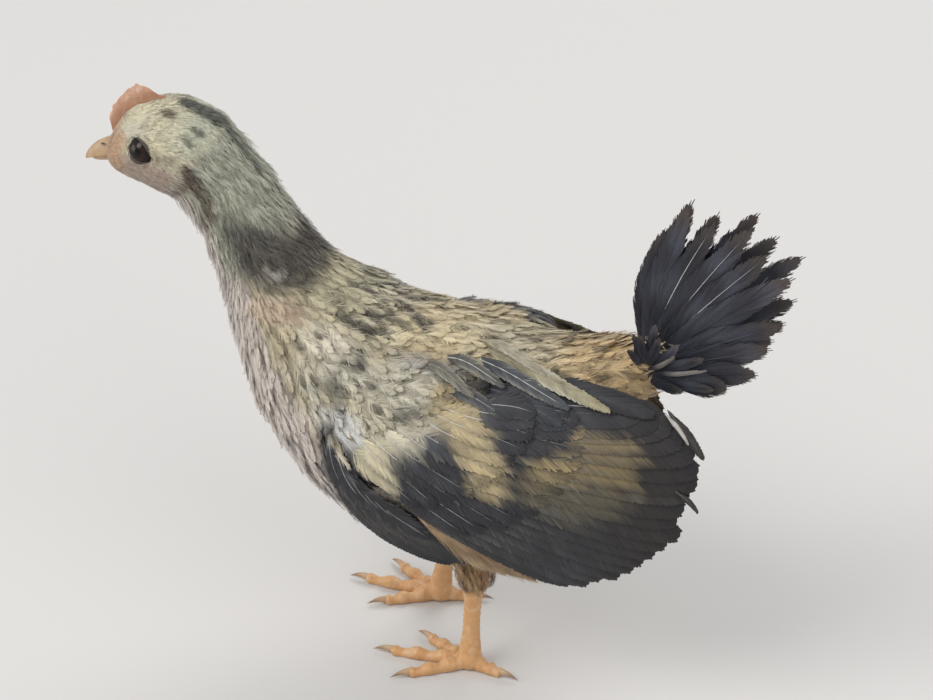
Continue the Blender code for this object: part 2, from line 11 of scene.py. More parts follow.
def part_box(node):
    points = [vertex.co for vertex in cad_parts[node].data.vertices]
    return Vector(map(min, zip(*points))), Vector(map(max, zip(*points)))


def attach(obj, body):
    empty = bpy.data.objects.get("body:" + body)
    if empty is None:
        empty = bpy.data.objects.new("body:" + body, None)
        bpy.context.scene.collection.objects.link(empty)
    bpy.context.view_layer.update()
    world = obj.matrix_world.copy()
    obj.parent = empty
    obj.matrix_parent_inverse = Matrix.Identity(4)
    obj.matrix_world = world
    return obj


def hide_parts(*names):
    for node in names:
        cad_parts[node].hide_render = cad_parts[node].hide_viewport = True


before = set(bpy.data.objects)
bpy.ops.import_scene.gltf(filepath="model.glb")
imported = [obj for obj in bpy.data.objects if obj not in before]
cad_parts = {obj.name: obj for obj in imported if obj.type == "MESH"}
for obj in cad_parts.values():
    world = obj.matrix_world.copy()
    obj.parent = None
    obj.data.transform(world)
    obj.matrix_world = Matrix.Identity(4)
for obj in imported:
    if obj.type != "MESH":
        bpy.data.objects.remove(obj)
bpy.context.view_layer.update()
MM = 0.001
SETTLED = np.array((6.599, -0.058, 0.0))  # how far the solids were moved to centre their box, in mm
SIDES = {"left": -1, "right": 1}  # and the sign of y there


def to_frame(points):
    """Points of the bird's own side view, in mm, as metres in the frame."""
    return (np.asarray(points, float) + SETTLED) * MM


def link(name, mesh, finishes, smooth=True):
    """A mesh in metres as a named piece that rides on the body, with its materials."""
    mesh.name = name
    if smooth:
        mesh.shade_smooth()
    for finish in finishes:
        mesh.materials.append(finish)
    made = bpy.data.objects.new(name, mesh)
    bpy.context.scene.collection.objects.link(made)
    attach(made, "root")
    print(name, len(mesh.polygons), "faces")
    return made


def ramp(value, low, high):
    """0 below low, 1 above high, and smooth between. With low above high it runs the other way."""
    share = np.clip((value - low) / (high - low), 0, 1)
    return share * share * (3 - 2 * share)


def hump(value, low, high, edge):
    """1 between low and high, falling smoothly to 0 over edge on each side."""
    return ramp(value, low - edge, low) * ramp(value, high + edge, high)


def linear(code):
    """An sRGB colour written as six hex digits, as the linear numbers that Blender wants."""
    channels = np.array([int(code[i : i + 2], 16) / 255 for i in (0, 2, 4)])
    return np.where(channels <= 0.04045, channels / 12.92, ((channels + 0.055) / 1.055) ** 2.4)


def over(under, code, share):
    """Rows of colour with another colour laid over them by a share from 0 to 1 for each row."""
    return under + (linear(code) - under) * np.clip(share, 0, 1)[:, None]


def plain(points, code):
    """One colour for every point."""
    return np.repeat(linear(code)[None], len(points), axis=0)


def tinted(mesh, tints):
    """Writes linear colours, one for each corner, into a mesh as its Tint attribute."""
    rgba = np.concatenate([np.clip(tints, 0, 1), np.ones((len(tints), 1))], axis=1)
    mesh.color_attributes.new("Tint", "FLOAT_COLOR", "POINT").data.foreach_set("color", rgba.ravel())


def clouds(points, size, seed):
    """A soft random field between about -1 and 1 that varies over the given size in mm."""
    draw = np.random.default_rng(seed)
    total = np.zeros(len(points))
    for _ in range(7):
        heading = draw.normal(size=3)
        heading *= draw.uniform(0.7, 1.5) / np.linalg.norm(heading)
        total += np.sin(points @ heading * (2 * math.pi / size) + draw.uniform(0, 2 * math.pi))
    return total / 2.6


def unit(vectors):
    """Rows of vectors, each with a length of 1."""
    return vectors / np.maximum(np.linalg.norm(vectors, axis=-1, keepdims=True), 1e-9)


# %% [markdown]
# ## The body as a map
# Feathers lie along lines that run from the beak to the tail. So the body is first described by sections:
# each is where it crosses the back line and the belly line in side view, and half its width. The sections
# are those of the solids. From them any point gets two numbers: how far along the body it lies, and how high
# on its section, from -1 on the belly to 1 on the back. Both the lie of the coat and its markings are
# written in these two numbers, so they follow the body from every side.
# %% Sections and the map of the body
SECTIONS = {  # name: (back x, back z, belly x, belly z, half-width)
    "tail stub end": (58.5, 104.5, 59.5, 99.5, 1.6),
    "tail stub": (51.0, 100.5, 54.5, 88.5, 5.5),
    "tail root": (43.5, 97.0, 49.5, 81.0, 9.5),
    "rump": (36.0, 94.8, 44.5, 61.0, 16.0),
    "vent": (26.0, 93.5, 33.5, 39.5, 22.0),
    "hips": (12.5, 93.8, 15.5, 30.5, 25.7),
    "back": (-1.5, 95.5, -4.0, 28.5, 27.0),
    "shoulders": (-14.0, 98.0, -23.5, 34.0, 26.6),
    "crop": (-24.0, 101.0, -40.0, 46.5, 24.5),
    "breast": (-31.0, 104.3, -52.0, 63.5, 20.5),
    "neck base": (-36.0, 108.3, -58.5, 82.0, 16.5),
    "low neck": (-40.7, 114.6, -62.0, 95.0, 13.6),
    "mid neck": (-46.0, 122.3, -66.0, 106.5, 12.1),
    "high neck": (-51.8, 130.2, -70.5, 113.5, 11.6),
    "nape": (-58.8, 138.0, -75.0, 117.0, 11.6),
    "crown": (-68.0, 142.4, -80.0, 119.0, 11.3),
    "brow": (-77.0, 142.3, -84.5, 120.0, 10.0),
    "forehead": (-84.5, 137.8, -88.0, 121.5, 7.4),
    "beak base": (-88.8, 131.0, -89.6, 123.2, 4.4),
}
AT = {name: index for index, name in enumerate(SECTIONS)}
ROWS_PER_SECTION = 4


def smooth_rows(rows, per_span):
    """More rows between the given ones, on a Catmull-Rom curve through all of them."""
    rows = np.array(rows, float)
    padded = np.vstack([2 * rows[0] - rows[1], rows, 2 * rows[-1] - rows[-2]])
    made = []
    for i in range(len(rows) - 1):
        a, b, c, d = padded[i : i + 4]
        for t in np.arange(per_span) / per_span:
            cubic = (2 * a - 5 * b + 4 * c - d) * t**2 + (3 * b - a - 3 * c + d) * t**3
            made.append(0.5 * (2 * b + (c - a) * t + cubic))
    made.append(rows[-1])
    return np.array(made)


PROFILE = smooth_rows(list(SECTIONS.values()), ROWS_PER_SECTION)
print("sections:", len(SECTIONS), "rows:", len(PROFILE))


# %% Any point's place on the body
def body_map(points):
    """For points in mm: place along the body in sections, height on the section from -1 to 1, the section's
    half-width there, and the directions of the belly line and the back line towards the tail."""
    points = np.asarray(points, float)
    x, z = points[:, 0:1], points[:, 2:3]
    backs, bellies = PROFILE[:, 0:2], PROFILE[:, 2:4]
    ups = backs - bellies
    side = ups[:, 0] * (z - bellies[:, 1]) - ups[:, 1] * (x - bellies[:, 0])
    crossed = (side[:, :-1] <= 0) != (side[:, 1:] <= 0)
    first = np.argmax(crossed, axis=1)
    past_an_end = ~crossed.any(axis=1)
    first[past_an_end & (points[:, 0] < 0)] = len(PROFILE) - 2
    rows = np.arange(len(points))
    a, b = side[rows, first], side[rows, first + 1]
    share = np.clip(np.where(np.abs(a - b) > 1e-9, a / np.where(a == b, 1, a - b), 0), 0, 1)
    row = PROFILE[first] + (PROFILE[first + 1] - PROFILE[first]) * share[:, None]
    up = row[:, 0:2] - row[:, 2:4]
    offset = points[:, [0, 2]] - row[:, 2:4]
    height = (offset * up).sum(1) / (up * up).sum(1) * 2 - 1
    step = PROFILE[first] - PROFILE[first + 1]
    zero = np.zeros(len(points))
    back_way = unit(np.stack([step[:, 0], zero, step[:, 1]], axis=1))
    belly_way = unit(np.stack([step[:, 2], zero, step[:, 3]], axis=1))
    return (first + share) / ROWS_PER_SECTION, height, row[:, 4], belly_way, back_way


def flank(points):
    """Half the body's width at points in side view, or 0 outside its outline."""
    _, height, half, _, _ = body_map(points)
    return half * np.sqrt(np.clip(1 - height**2, 0, 1))


# %% [markdown]
# ## The folded wing as a surface
# A folded wing lies over the flank like a shell. Its outer face is one smooth formula of x and z, the same
# that shaped the solids, so the fine feathers made here lie exactly where the solid ones lie.
# %% Wing shell, tiers and cushions
def wing_shell(x, z):
    """How far the folded wing's outer face stands from the middle plane, in side view."""
    behind, before = np.maximum(x, 0) / 70, np.maximum(-10 - x, 0) / 17
    half = 31.5 - 13 * behind**1.6 - 1.5 * before**2
    middle = 66 + 8 * behind
    reach = np.where(z > middle, 31.5 - 4.5 * behind + 5 * before, 54)
    return half * np.sqrt(np.maximum(0.05, 1 - ((z - middle) / reach) ** 2))


def side_view(x, z):
    """Points on the middle plane."""
    return np.stack([x, np.zeros_like(x), z], axis=1)


def wing_layer(x, z, lift, clear):
    """Where a sheet of feathers lies: lift from the shell, but never nearer to the flank than clear."""
    return np.maximum(wing_shell(x, z) + lift, flank(side_view(x, z)) + clear)


# A cushion of flesh under the small feathers: centre, half-length, half-width, heading, depth under the shell
ARM_PAD = ((-4.0, 76.0), 26.0, 12.5, 29.0, 0.8)
HAND_PAD = ((-16.5, 56.0), 11.0, 6.0, -48.0, 3.2)
PAD_INSIDE_FLANK, PAD_LEAST_DEPTH = 1.5, 3.0


def wing_pad(side, centre, along, across, heading, depth):
    """A cushion that starts just inside the flank, its outer face lying depth inside the wing's shell."""
    shape = bmesh.new()
    bmesh.ops.create_uvsphere(shape, u_segments=64, v_segments=32, radius=1)
    turn = math.radians(heading)
    a, b, c = np.array([vert.co for vert in shape.verts]).T
    x = centre[0] + a * along * math.cos(turn) - b * across * math.sin(turn)
    z = centre[1] + a * along * math.sin(turn) + b * across * math.cos(turn)
    inner = flank(side_view(x, z)) - PAD_INSIDE_FLANK
    outer = np.maximum(wing_shell(x, z) - depth, inner + PAD_LEAST_DEPTH)
    y = inner + np.where(c > 0, (outer - inner) * np.maximum(c, 0) ** 0.6, 0)
    for vert, place in zip(shape.verts, np.stack([x, side * y, z], axis=1)):
        vert.co = place
    return shape


# %% [markdown]
# ## One skin
# On a real bird one skin runs over neck, trunk, wings and thighs, with no seam where the parts meet. The
# parts are modelled loosely, each as a grid wrapped round its own line, and then a voxel remesh melts them
# into one surface. After that the skin is drawn in by the depth of the coat, so that the tips of the
# feathers, and not the skin, reach the bird's true outline.
# %% Trunk and thighs as wrapped grids
def wrapped_grid(rows, columns, place, weld=1e-4):
    """A grid wrapped into a closed tube. place(share, turn) gives the point in mm for each of its corners."""
    shape = bmesh.new()
    bmesh.ops.create_grid(shape, x_segments=rows, y_segments=columns, size=0.5)
    for vert in shape.verts:
        vert.co = place(vert.co.x + 0.5, (vert.co.y + 0.5) * 2 * math.pi)
    bmesh.ops.remove_doubles(shape, verts=shape.verts[:], dist=weld)
    rims = [edge for edge in shape.edges if edge.is_boundary]
    if rims:
        bmesh.ops.holes_fill(shape, edges=rims, sides=0)
    bmesh.ops.recalc_face_normals(shape, faces=shape.faces[:])
    return shape


def trunk_place(share, turn):
    """The trunk, neck and head as one tube through the rows of the profile."""
    row_at = share * (len(PROFILE) - 1)
    low = min(int(row_at), len(PROFILE) - 2)
    back_x, back_z, belly_x, belly_z, half = PROFILE[low] + (PROFILE[low + 1] - PROFILE[low]) * (row_at - low)
    height = math.cos(turn)
    x = (back_x + belly_x) / 2 + (back_x - belly_x) / 2 * height
    z = (back_z + belly_z) / 2 + (back_z - belly_z) / 2 * height
    return x, half * math.sin(turn), z


HIP_Y = 12.9
THIGH_TOP = (3.0, 50.0)
HOCK = {"left": (8.0, 29.5), "right": (-6.0, 29.0)}
THIGH_RADII = (7.5, 9.2, 9.2, 8.2, 6.8, 5.4, 4.6)


def thigh_grid(side_name):
    """A thigh: a tube from inside the trunk down to the hock."""
    y = SIDES[side_name] * HIP_Y
    top = np.array((THIGH_TOP[0], y, THIGH_TOP[1]))
    hock = np.array((HOCK[side_name][0], y, HOCK[side_name][1]))
    ahead = unit(hock - top)
    across = np.array((0.0, 1.0, 0.0))
    front = np.cross(across, ahead)

    def place(share, turn):
        radius = np.interp(share, np.linspace(0, 1, len(THIGH_RADII)), THIGH_RADII)
        centre = top + (hock - top) * (1.1 * share - 0.1)
        return centre + (across * math.cos(turn) + front * math.sin(turn)) * radius

    return wrapped_grid(24, 32, place)


# %% Shapes melted into one skin
def joined(shapes):
    """Several bmeshes in mm as one mesh in metres."""
    whole = bmesh.new()
    for shape in shapes:
        part = bpy.data.meshes.new("part")
        shape.to_mesh(part)
        shape.free()
        whole.from_mesh(part)
        bpy.data.meshes.remove(part)
    for vert in whole.verts:
        vert.co = to_frame(vert.co)
    mesh = bpy.data.meshes.new("joined")
    whole.to_mesh(mesh)
    whole.free()
    return mesh


def melted(shapes, voxel, calm_steps):
    """Loose closed shapes as one closed mesh in metres, by a voxel remesh that is then smoothed a little."""
    thing = bpy.data.objects.new("melting", joined(shapes))
    bpy.context.scene.collection.objects.link(thing)
    melt = thing.modifiers.new("melt", "REMESH")
    melt.mode = "VOXEL"
    melt.voxel_size = voxel
    calm = thing.modifiers.new("calm", "SMOOTH")
    calm.factor = 0.5
    calm.iterations = calm_steps
    graph = bpy.context.evaluated_depsgraph_get()
    mesh = bpy.data.meshes.new_from_object(thing.evaluated_get(graph))
    bpy.data.objects.remove(thing, do_unlink=True)
    return mesh


SKIN_VOXEL = 0.7 * MM
skin_parts = [wrapped_grid(144, 72, trunk_place)]
for side_name, side in SIDES.items():
    skin_parts += [thigh_grid(side_name), wing_pad(side, *ARM_PAD), wing_pad(side, *HAND_PAD)]
skin_mesh = melted(skin_parts, SKIN_VOXEL, 12)
print("skin:", len(skin_mesh.vertices), "points")

# %% [markdown]
# ## Zones of the coat
# A bird's coat changes from place to place: hair-fine on the face, short on the head, longer and softer
# on the breast and belly. Each zone gets a depth for the skin to be drawn in by, and for its feathers a
# length, a half-width, a spacing and a number of barbs on each side of the shaft. A point's zone comes
# from its place on the body's map, never from the camera.
# %% Which zone a point is in
ZONES = {  # coat depth, feather length, half-width, spacing, barbs a side, lift of the tip, sizes in mm
    "face": (0.25, 1.5, 0.30, 0.43, 6, 0.10),
    "cheek": (0.45, 2.5, 0.50, 0.50, 8, 0.18),
    "crown": (0.7, 3.4, 0.75, 0.59, 12, 0.30),
    "neck": (1.6, 5.4, 1.05, 0.98, 12, 0.8),
    "throat": (1.45, 5.8, 1.05, 1.05, 12, 0.75),
    "breast": (1.9, 8.6, 2.0, 1.8, 21, 0.95),
    "back": (1.8, 8.6, 2.25, 1.85, 22, 0.9),
    "rump": (2.1, 9.6, 2.25, 1.85, 22, 1.4),
    "belly": (2.2, 8.5, 2.2, 2.1, 20, 1.3),
    "thigh": (1.3, 8.0, 1.5, 1.3, 16, 0.8),
    "wing": (1.2, 8.0, 2.4, 1.8, 22, 1.0),
    "hidden": (2.2, 7.0, 2.2, 3.2, 8, 0.6),
}
ZONE_SIZES = np.array(list(ZONES.values()))
ZONE_INDEX = {name: i for i, name in enumerate(ZONES)}
THIGH_REACH = 10.2  # how far from the thigh's line its feathers still grow


def in_zones(zone, *names):
    """Which of the points, whose zones are given, lie in the named ones."""
    return np.isin(zone, [ZONE_INDEX[name] for name in names])


def zone_of(points):
    """The zone of each point in mm, as its index in ZONES, with the point's map. A later rule overrules."""
    along, height, half, belly_way, back_way = body_map(points)
    x, y, z = points.T
    beyond = np.abs(y) - half * np.sqrt(np.clip(1 - height**2, 0, 1))
    zone = np.full(len(points), ZONE_INDEX["back"])
    for name, inside in (
        ("breast", (height < 0.15) & (along > 6.2)),
        ("belly", (height < 0.1) & (along <= 6.2)),
        ("rump", (along < 4.4) & (height >= -0.35)),
        ("neck", along > 9.7),
        ("throat", (along > 9.7) & (height < -0.45)),
        ("crown", along > 13.9),
        ("cheek", (along > 14.2) & (height < -0.1)),
        ("face", along > 16.35),
        ("wing", (beyond > 0.6) & (z > 44) & (along > 3.5) & (along < 9)),
    ):
        zone[inside] = ZONE_INDEX[name]
    under_wing = in_zones(zone, "back", "belly", "breast") & (x > 6) & (x < 52)
    under_wing &= (z < np.where(y > 0, 77, 86)) & (z > 50) & (np.abs(height) < 0.85)
    zone[under_wing] = ZONE_INDEX["hidden"]
    for side_name, side in SIDES.items():
        hock_x, hock_z = HOCK[side_name]
        centre_x = THIGH_TOP[0] + (hock_x - THIGH_TOP[0]) * (THIGH_TOP[1] - z) / (THIGH_TOP[1] - hock_z)
        near_leg = (y * side > 0) & (np.hypot(x - centre_x, y - side * HIP_Y) < THIGH_REACH) & (z < 40)
        on_leg = near_leg & ((height < -1.0) | (z < 33))
        zone[on_leg] = ZONE_INDEX["thigh"]
    return zone, (along, height, half, belly_way, back_way)


# %% The skin drawn in by the depth of the coat
def points_of(mesh):
    """A mesh's corners in the bird's side view, in mm, and their normals."""
    places = np.empty(len(mesh.vertices) * 3)
    mesh.vertices.foreach_get("co", places)
    normals = np.empty(len(mesh.vertices) * 3)
    mesh.vertices.foreach_get("normal", normals)
    return places.reshape(-1, 3) / MM - SETTLED, normals.reshape(-1, 3)


skin_points, skin_normals = points_of(skin_mesh)
skin_zone, skin_map = zone_of(skin_points)
depth = ZONE_SIZES[skin_zone, 0]
edges = np.empty(len(skin_mesh.edges) * 2, int)
skin_mesh.edges.foreach_get("vertices", edges)
edges = edges.reshape(-1, 2)
for _ in range(12):  # the depth changes gently from zone to zone
    total, count = depth.copy(), np.ones(len(depth))
    for a, b in ((0, 1), (1, 0)):
        np.add.at(total, edges[:, a], depth[edges[:, b]])
        np.add.at(count, edges[:, a], 1)
    depth = total / count
skin_points = skin_points - skin_normals * depth[:, None]
skin_mesh.vertices.foreach_set("co", to_frame(skin_points).ravel())
skin_mesh.update()
print("zones:", {name: int((skin_zone == i).sum()) for name, i in ZONE_INDEX.items()})

# %% [markdown]
# ## Sockets for the eyes
# The ball of an eye is far larger than the gap between its lids, and it lies in a hollow of the skull. So
# the skin is pressed in round each eye's axis, and the lids later bridge the hollow's edge.
# %% Where the eyes sit
SOCKET_EDGE, SOCKET_DEPTH = 3.9, 1.5


def eye_place(side_name):
    """The centre, radius and outward axis of an eye: from the solids, and from the skin round it."""
    low, high = (np.array(corner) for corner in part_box(f"eye_{side_name}"))
    centre = (low + high) / 2 / MM - SETTLED
    radius = (high - low)[0] / 2 / MM
    near = np.linalg.norm(skin_points - centre, axis=1) < radius + 1.5
    return centre, radius, unit(skin_normals[near].mean(0))


def about_axis(points, centre, axis):
    """How far points lie ahead of an eye's centre, and their offsets square to its axis."""
    ahead = (points - centre) @ axis
    return ahead, points - centre - ahead[:, None] * axis


EYES = {side_name: eye_place(side_name) for side_name in SIDES}
for centre, _, axis in EYES.values():
    ahead, square = about_axis(skin_points, centre, axis)
    from_axis = np.linalg.norm(square, axis=1)
    pressed = SOCKET_DEPTH * ramp(from_axis, SOCKET_EDGE, SOCKET_EDGE - 0.9) * (ahead > -1)
    skin_points = skin_points - axis * pressed[:, None]
skin_mesh.vertices.foreach_set("co", to_frame(skin_points).ravel())
skin_mesh.update()
print("eyes:", {name: np.round(np.concatenate([c, [r], a]), 2).tolist() for name, (c, r, a) in EYES.items()})

# %% [markdown]
# ## Markings
# The juvenile coat is drawn by rules on the body's map: cream on the crown, a dark patch behind it, a
# grey-green neck that darkens to charcoal at its root, pale throat and breast, a cream back with black
# streaks, an ochre rump and a tan belly. One function gives the ground colour, and both the skin and the
# feathers, along their shafts, ask it, so they carry the same markings. Smaller patches and blots are
# strokes with soft, shaken edges, nearly all drawn on both flanks alike. The dark dashes of the back are
# finer than a feather, so the barbs ask for those point by point.
# %% Drawn marks
def stroke(points, path, width, soft=0.45, flat=None):
    """1 within width of a path drawn on both flanks alike, 0 outside it, with a soft rim. flat says how much
    each direction counts: behind the neck, where the coat is thick, depth counts less."""
    path = np.array(path, float)
    flat = flat or (1.0, 0.4 if path[:, 0].mean() > -30 else 1.0, 1.0)
    path = path * flat
    seen = np.stack([points[:, 0], np.abs(points[:, 1]), points[:, 2]], axis=1) * flat
    nearest = np.full(len(points), 1e9)
    for start, end in zip(path, path[1:] if len(path) > 1 else path):
        way = end - start
        share = np.clip((seen - start) @ way / max(way @ way, 1e-9), 0, 1)
        nearest = np.minimum(nearest, np.linalg.norm(seen - start - share[:, None] * way, axis=1))
    return ramp(nearest, width * (1 + soft), width * (1 - soft))


MARKS = (  # colour, strength, half-width in mm, path of (x, distance from the middle plane, z)
    # wing and shoulder, from the front backwards
    ("BDB7A3", 0.85, 4.6, ((-26, 19, 88), (-14, 21, 83), (-3, 20, 86))),
    ("BAB298", 0.85, 4.2, ((-15, 25, 79), (-9, 28, 75))),
    ("BFB493", 0.95, 3.9, ((-12, 29, 71), (-9, 28, 64))),
    ("B7AF96", 0.85, 3.9, ((-3, 28, 75), (-1, 26, 79))),
    ("AC9A72", 0.95, 5.0, ((5, 22, 85), (12, 25, 79), (17, 25, 68))),
    ("87724D", 0.65, 1.9, ((15.5, 26, 70),)),
    ("85744F", 0.95, 4.2, ((29, 25, 71), (38, 24, 74.5), (47, 20, 73.5))),
    ("8E7C58", 0.85, 1.8, ((36, 23, 81.5), (50, 19, 80))),
    ("68604B", 0.75, 3.8, ((28, 26, 66), (44, 22, 64))),
    ("5F5846", 0.6, 3.0, ((36, 24, 60), (52, 20, 66))),
    ("C2C1BC", 0.85, 3.0, ((-26, 23.5, 74.5), (-18, 27, 75))),
    ("94979A", 0.75, 1.8, ((-7, 13, 90), (5.5, 15.5, 89.6))),
    ("3A3B3D", 0.85, 1.2, ((-1.6, 14.4, 89), (6.4, 18.2, 88.1))),
    ("33353A", 0.95, 2.0, ((1.4, 27.4, 76.7), (7.5, 27, 72.9))),
    ("2A2A2F", 0.95, 2.8, ((-26, 24, 70), (-25, 22, 58.5), (-22, 19.5, 49), (-18, 14, 41))),
    ("8F8889", 0.8, 1.0, ((-19.4, 26.6, 61.3), (-16.6, 26.2, 55.1))),
    ("3B3E42", 0.85, 1.7, ((-22.5, 23, 77.8),)),
    ("8C9093", 0.8, 2.2, ((-8.9, 13, 90.2), (-3.7, 12, 90), (2.1, 12.6, 90))),
    ("4A463A", 0.85, 1.3, ((2, 16.2, 89.1), (7.2, 19.2, 87.4))),
    ("7A7A70", 0.7, 1.3, ((-31.3, 21.3, 81.6), (-29, 22, 79.7))),
    ("4A4A44", 0.8, 1.3, ((-26.3, 20.7, 83.7), (-22.2, 21.5, 81.5))),
    ("35332C", 0.9, 1.9, ((-23.4, 17.7, 88.7), (-19.7, 17.5, 88.2))),
    ("2F3033", 0.85, 1.0, ((-5.1, 24.8, 81.5), (-7.4, 26, 79.5))),
    ("8C8E92", 0.6, 0.6, ((3.5, 27, 67), (11.5, 26, 61))),
    ("C9C9CC", 0.8, 0.8, ((7, 26, 56),)),
    # back and rump
    ("BBA06C", 0.8, 3.8, ((-8, 8, 93), (1, 7, 92))),
    ("CBBE9B", 0.7, 2.6, ((-14.5, 10, 93.4), (-8, 7, 93.4), (-1, 5, 92.8), (6, 2.7, 92.3))),
    ("BFAE88", 0.8, 2.6, ((5.5, 9, 90.9), (13, 9, 90.6))),
    ("B3AC8A", 0.75, 3.6, ((-32.6, 8, 100.6), (-28.2, 3.5, 100.3), (-24.8, 6.2, 98.2))),
    ("77725C", 0.7, 1.5, ((-30, 8.5, 99.2), (-27, 7.5, 98.6))),
    ("D3CAB4", 0.8, 3.4, ((-32.9, 16.2, 92.5), (-25.2, 16.1, 91.1))),
    ("C8AE96", 0.7, 3.0, ((-45.7, 14.7, 96.3), (-38.6, 14.2, 96.8))),
    ("46403A", 0.85, 2.4, ((-36.5, 9.3, 102), (-35.1, 2.1, 104.7))),
    # head and neck
    ("5F5540", 0.9, 1.3, ((-72.6, 4.6, 141), (-71.2, 5.0, 140.6))),
    ("42463D", 0.97, 2.1, ((-69, 0.4, 142), (-65, 0.9, 141), (-61.5, 1.2, 139))),
    ("4E5249", 0.82, 1.5, ((-60, 0.3, 137.8), (-56.2, 0, 133.5), (-51.2, 0, 127))),
    ("4E5248", 0.85, 0.8, ((-65.4, 6, 138.3), (-63, 6.3, 137.2))),
    ("5C5F50", 0.85, 0.8, ((-66.8, 8, 136.8), (-65.2, 8.6, 135.4))),
    ("75604F", 0.5, 1.2, ((-75.2, 9.4, 130.6), (-72, 10.6, 131.2), (-69.2, 10.6, 131.7))),
    ("46382C", 0.95, 1.6, ((-65.8, 10.4, 129), (-63.4, 9.9, 126))),
    ("544638", 0.9, 1.8, ((-63.4, 9.9, 124.6), (-61.2, 9.9, 121.5), (-60.4, 9.9, 118.2), (-61.5, 9, 114))),
    ("73604F", 0.85, 1.1, ((-71.8, 6.2, 119.3), (-68, 9.4, 123), (-65.9, 10, 125.3))),
    # a brown line along the mouth, running back onto the face: painted shadow under the upper bill
    ("7E5F40", 0.9, 0.5, ((-89.3, 3.4, 125.2), (-88, 4.6, 125.8), (-85.1, 6.3, 126), (-82, 8.4, 126.1))),
    ("B9B3A6", 0.9, 0.9, ((-45.8, 11.1, 106), (-42.9, 11.1, 103.9), (-41.5, 11.1, 105.8))),
)
STREAKS = (  # dark dashes of the back: colour, half-width in mm, path
    ("47433A", 0.85, ((-22.8, 12, 94.4), (-17.8, 11.7, 93.2))),
    ("47433A", 0.85, ((-24.3, 1.4, 99), (-21.1, 2.6, 97.8))),
    ("47433A", 0.85, ((-18.8, 3.3, 97), (-14.1, 7.6, 94.5))),
    ("47433A", 0.85, ((-15.9, 2.1, 96.4), (-11.6, 2.7, 95.3))),
    ("47433A", 0.85, ((-10.1, 3.4, 94.8), (-6.4, 7.1, 93.1))),
    ("3E3B33", 1.05, ((-20.9, 8.4, 96), (-18.5, 8.7, 95.2), (-16.5, 10.2, 93.8), (-15, 11.7, 92.5))),
    ("47433A", 0.85, ((-27.6, 10.7, 96.9), (-24, 12.1, 94.7))),
    ("47433A", 0.85, ((-21.5, 12, 94), (-18.3, 13.2, 92.2))),
    ("4A463B", 0.85, ((-16.1, 7.6, 95), (-10.3, 8.3, 93.4))),
    ("47433A", 0.85, ((-10, 4.5, 94.6), (-5.9, 4.6, 93.7))),
    ("5A503A", 0.85, ((6.8, 3.8, 92), (12, 4.1, 91.5))),
    ("6A5A40", 0.85, ((20.8, 3, 91.1), (25, 4.6, 90.6))),
    ("4A443A", 0.85, ((26.3, 8.7, 88.7), (32, 11, 87))),
    ("7A6444", 0.85, ((34.3, 7.1, 90.2), (39.6, 9.9, 87.8))),
)
STREAK_STRENGTH = 0.9
STREAK_FLAT = (1.0, 0.8, 0.35)
RIGHT_MARKS = (  # as MARKS, but on the right side alone, where the shoulder of that wing is darker
    ("4A4C50", 0.9, 2.0, ((-8, 19, 86.5), (4, 18, 88), (15, 13.4, 89.5))),
    ("4C4644", 0.9, 2.2, ((8, 16, 89), (17.4, 19.4, 83.7), (26, 17, 84))),
)


def marked(tint, points):
    """Colours with the marks drawn over them, their edges shaken a little."""
    noise = [clouds(points, size, seed) for size, seed in ((4, 5), (6, 9), (3, 6))]
    shaken = points + np.stack(noise, axis=1) * (0.7, 0.3, 0.7)
    for code, strength, width, path in MARKS:
        tint = over(tint, code, strength * stroke(shaken if width > 1.5 else points, path, width))
    for code, strength, width, path in RIGHT_MARKS:
        tint = over(tint, code, strength * stroke(shaken, path, width) * (points[:, 1] > 0))
    return tint


def streaked(tint, points):
    """Colours with the dark dashes of the back drawn over them."""
    for code, width, path in STREAKS:
        tint = over(tint, code, STREAK_STRENGTH * stroke(points, path, width, 0.4, STREAK_FLAT))
    return tint


print("marks:", len(MARKS), "on the right alone:", len(RIGHT_MARKS), "dashes:", len(STREAKS))


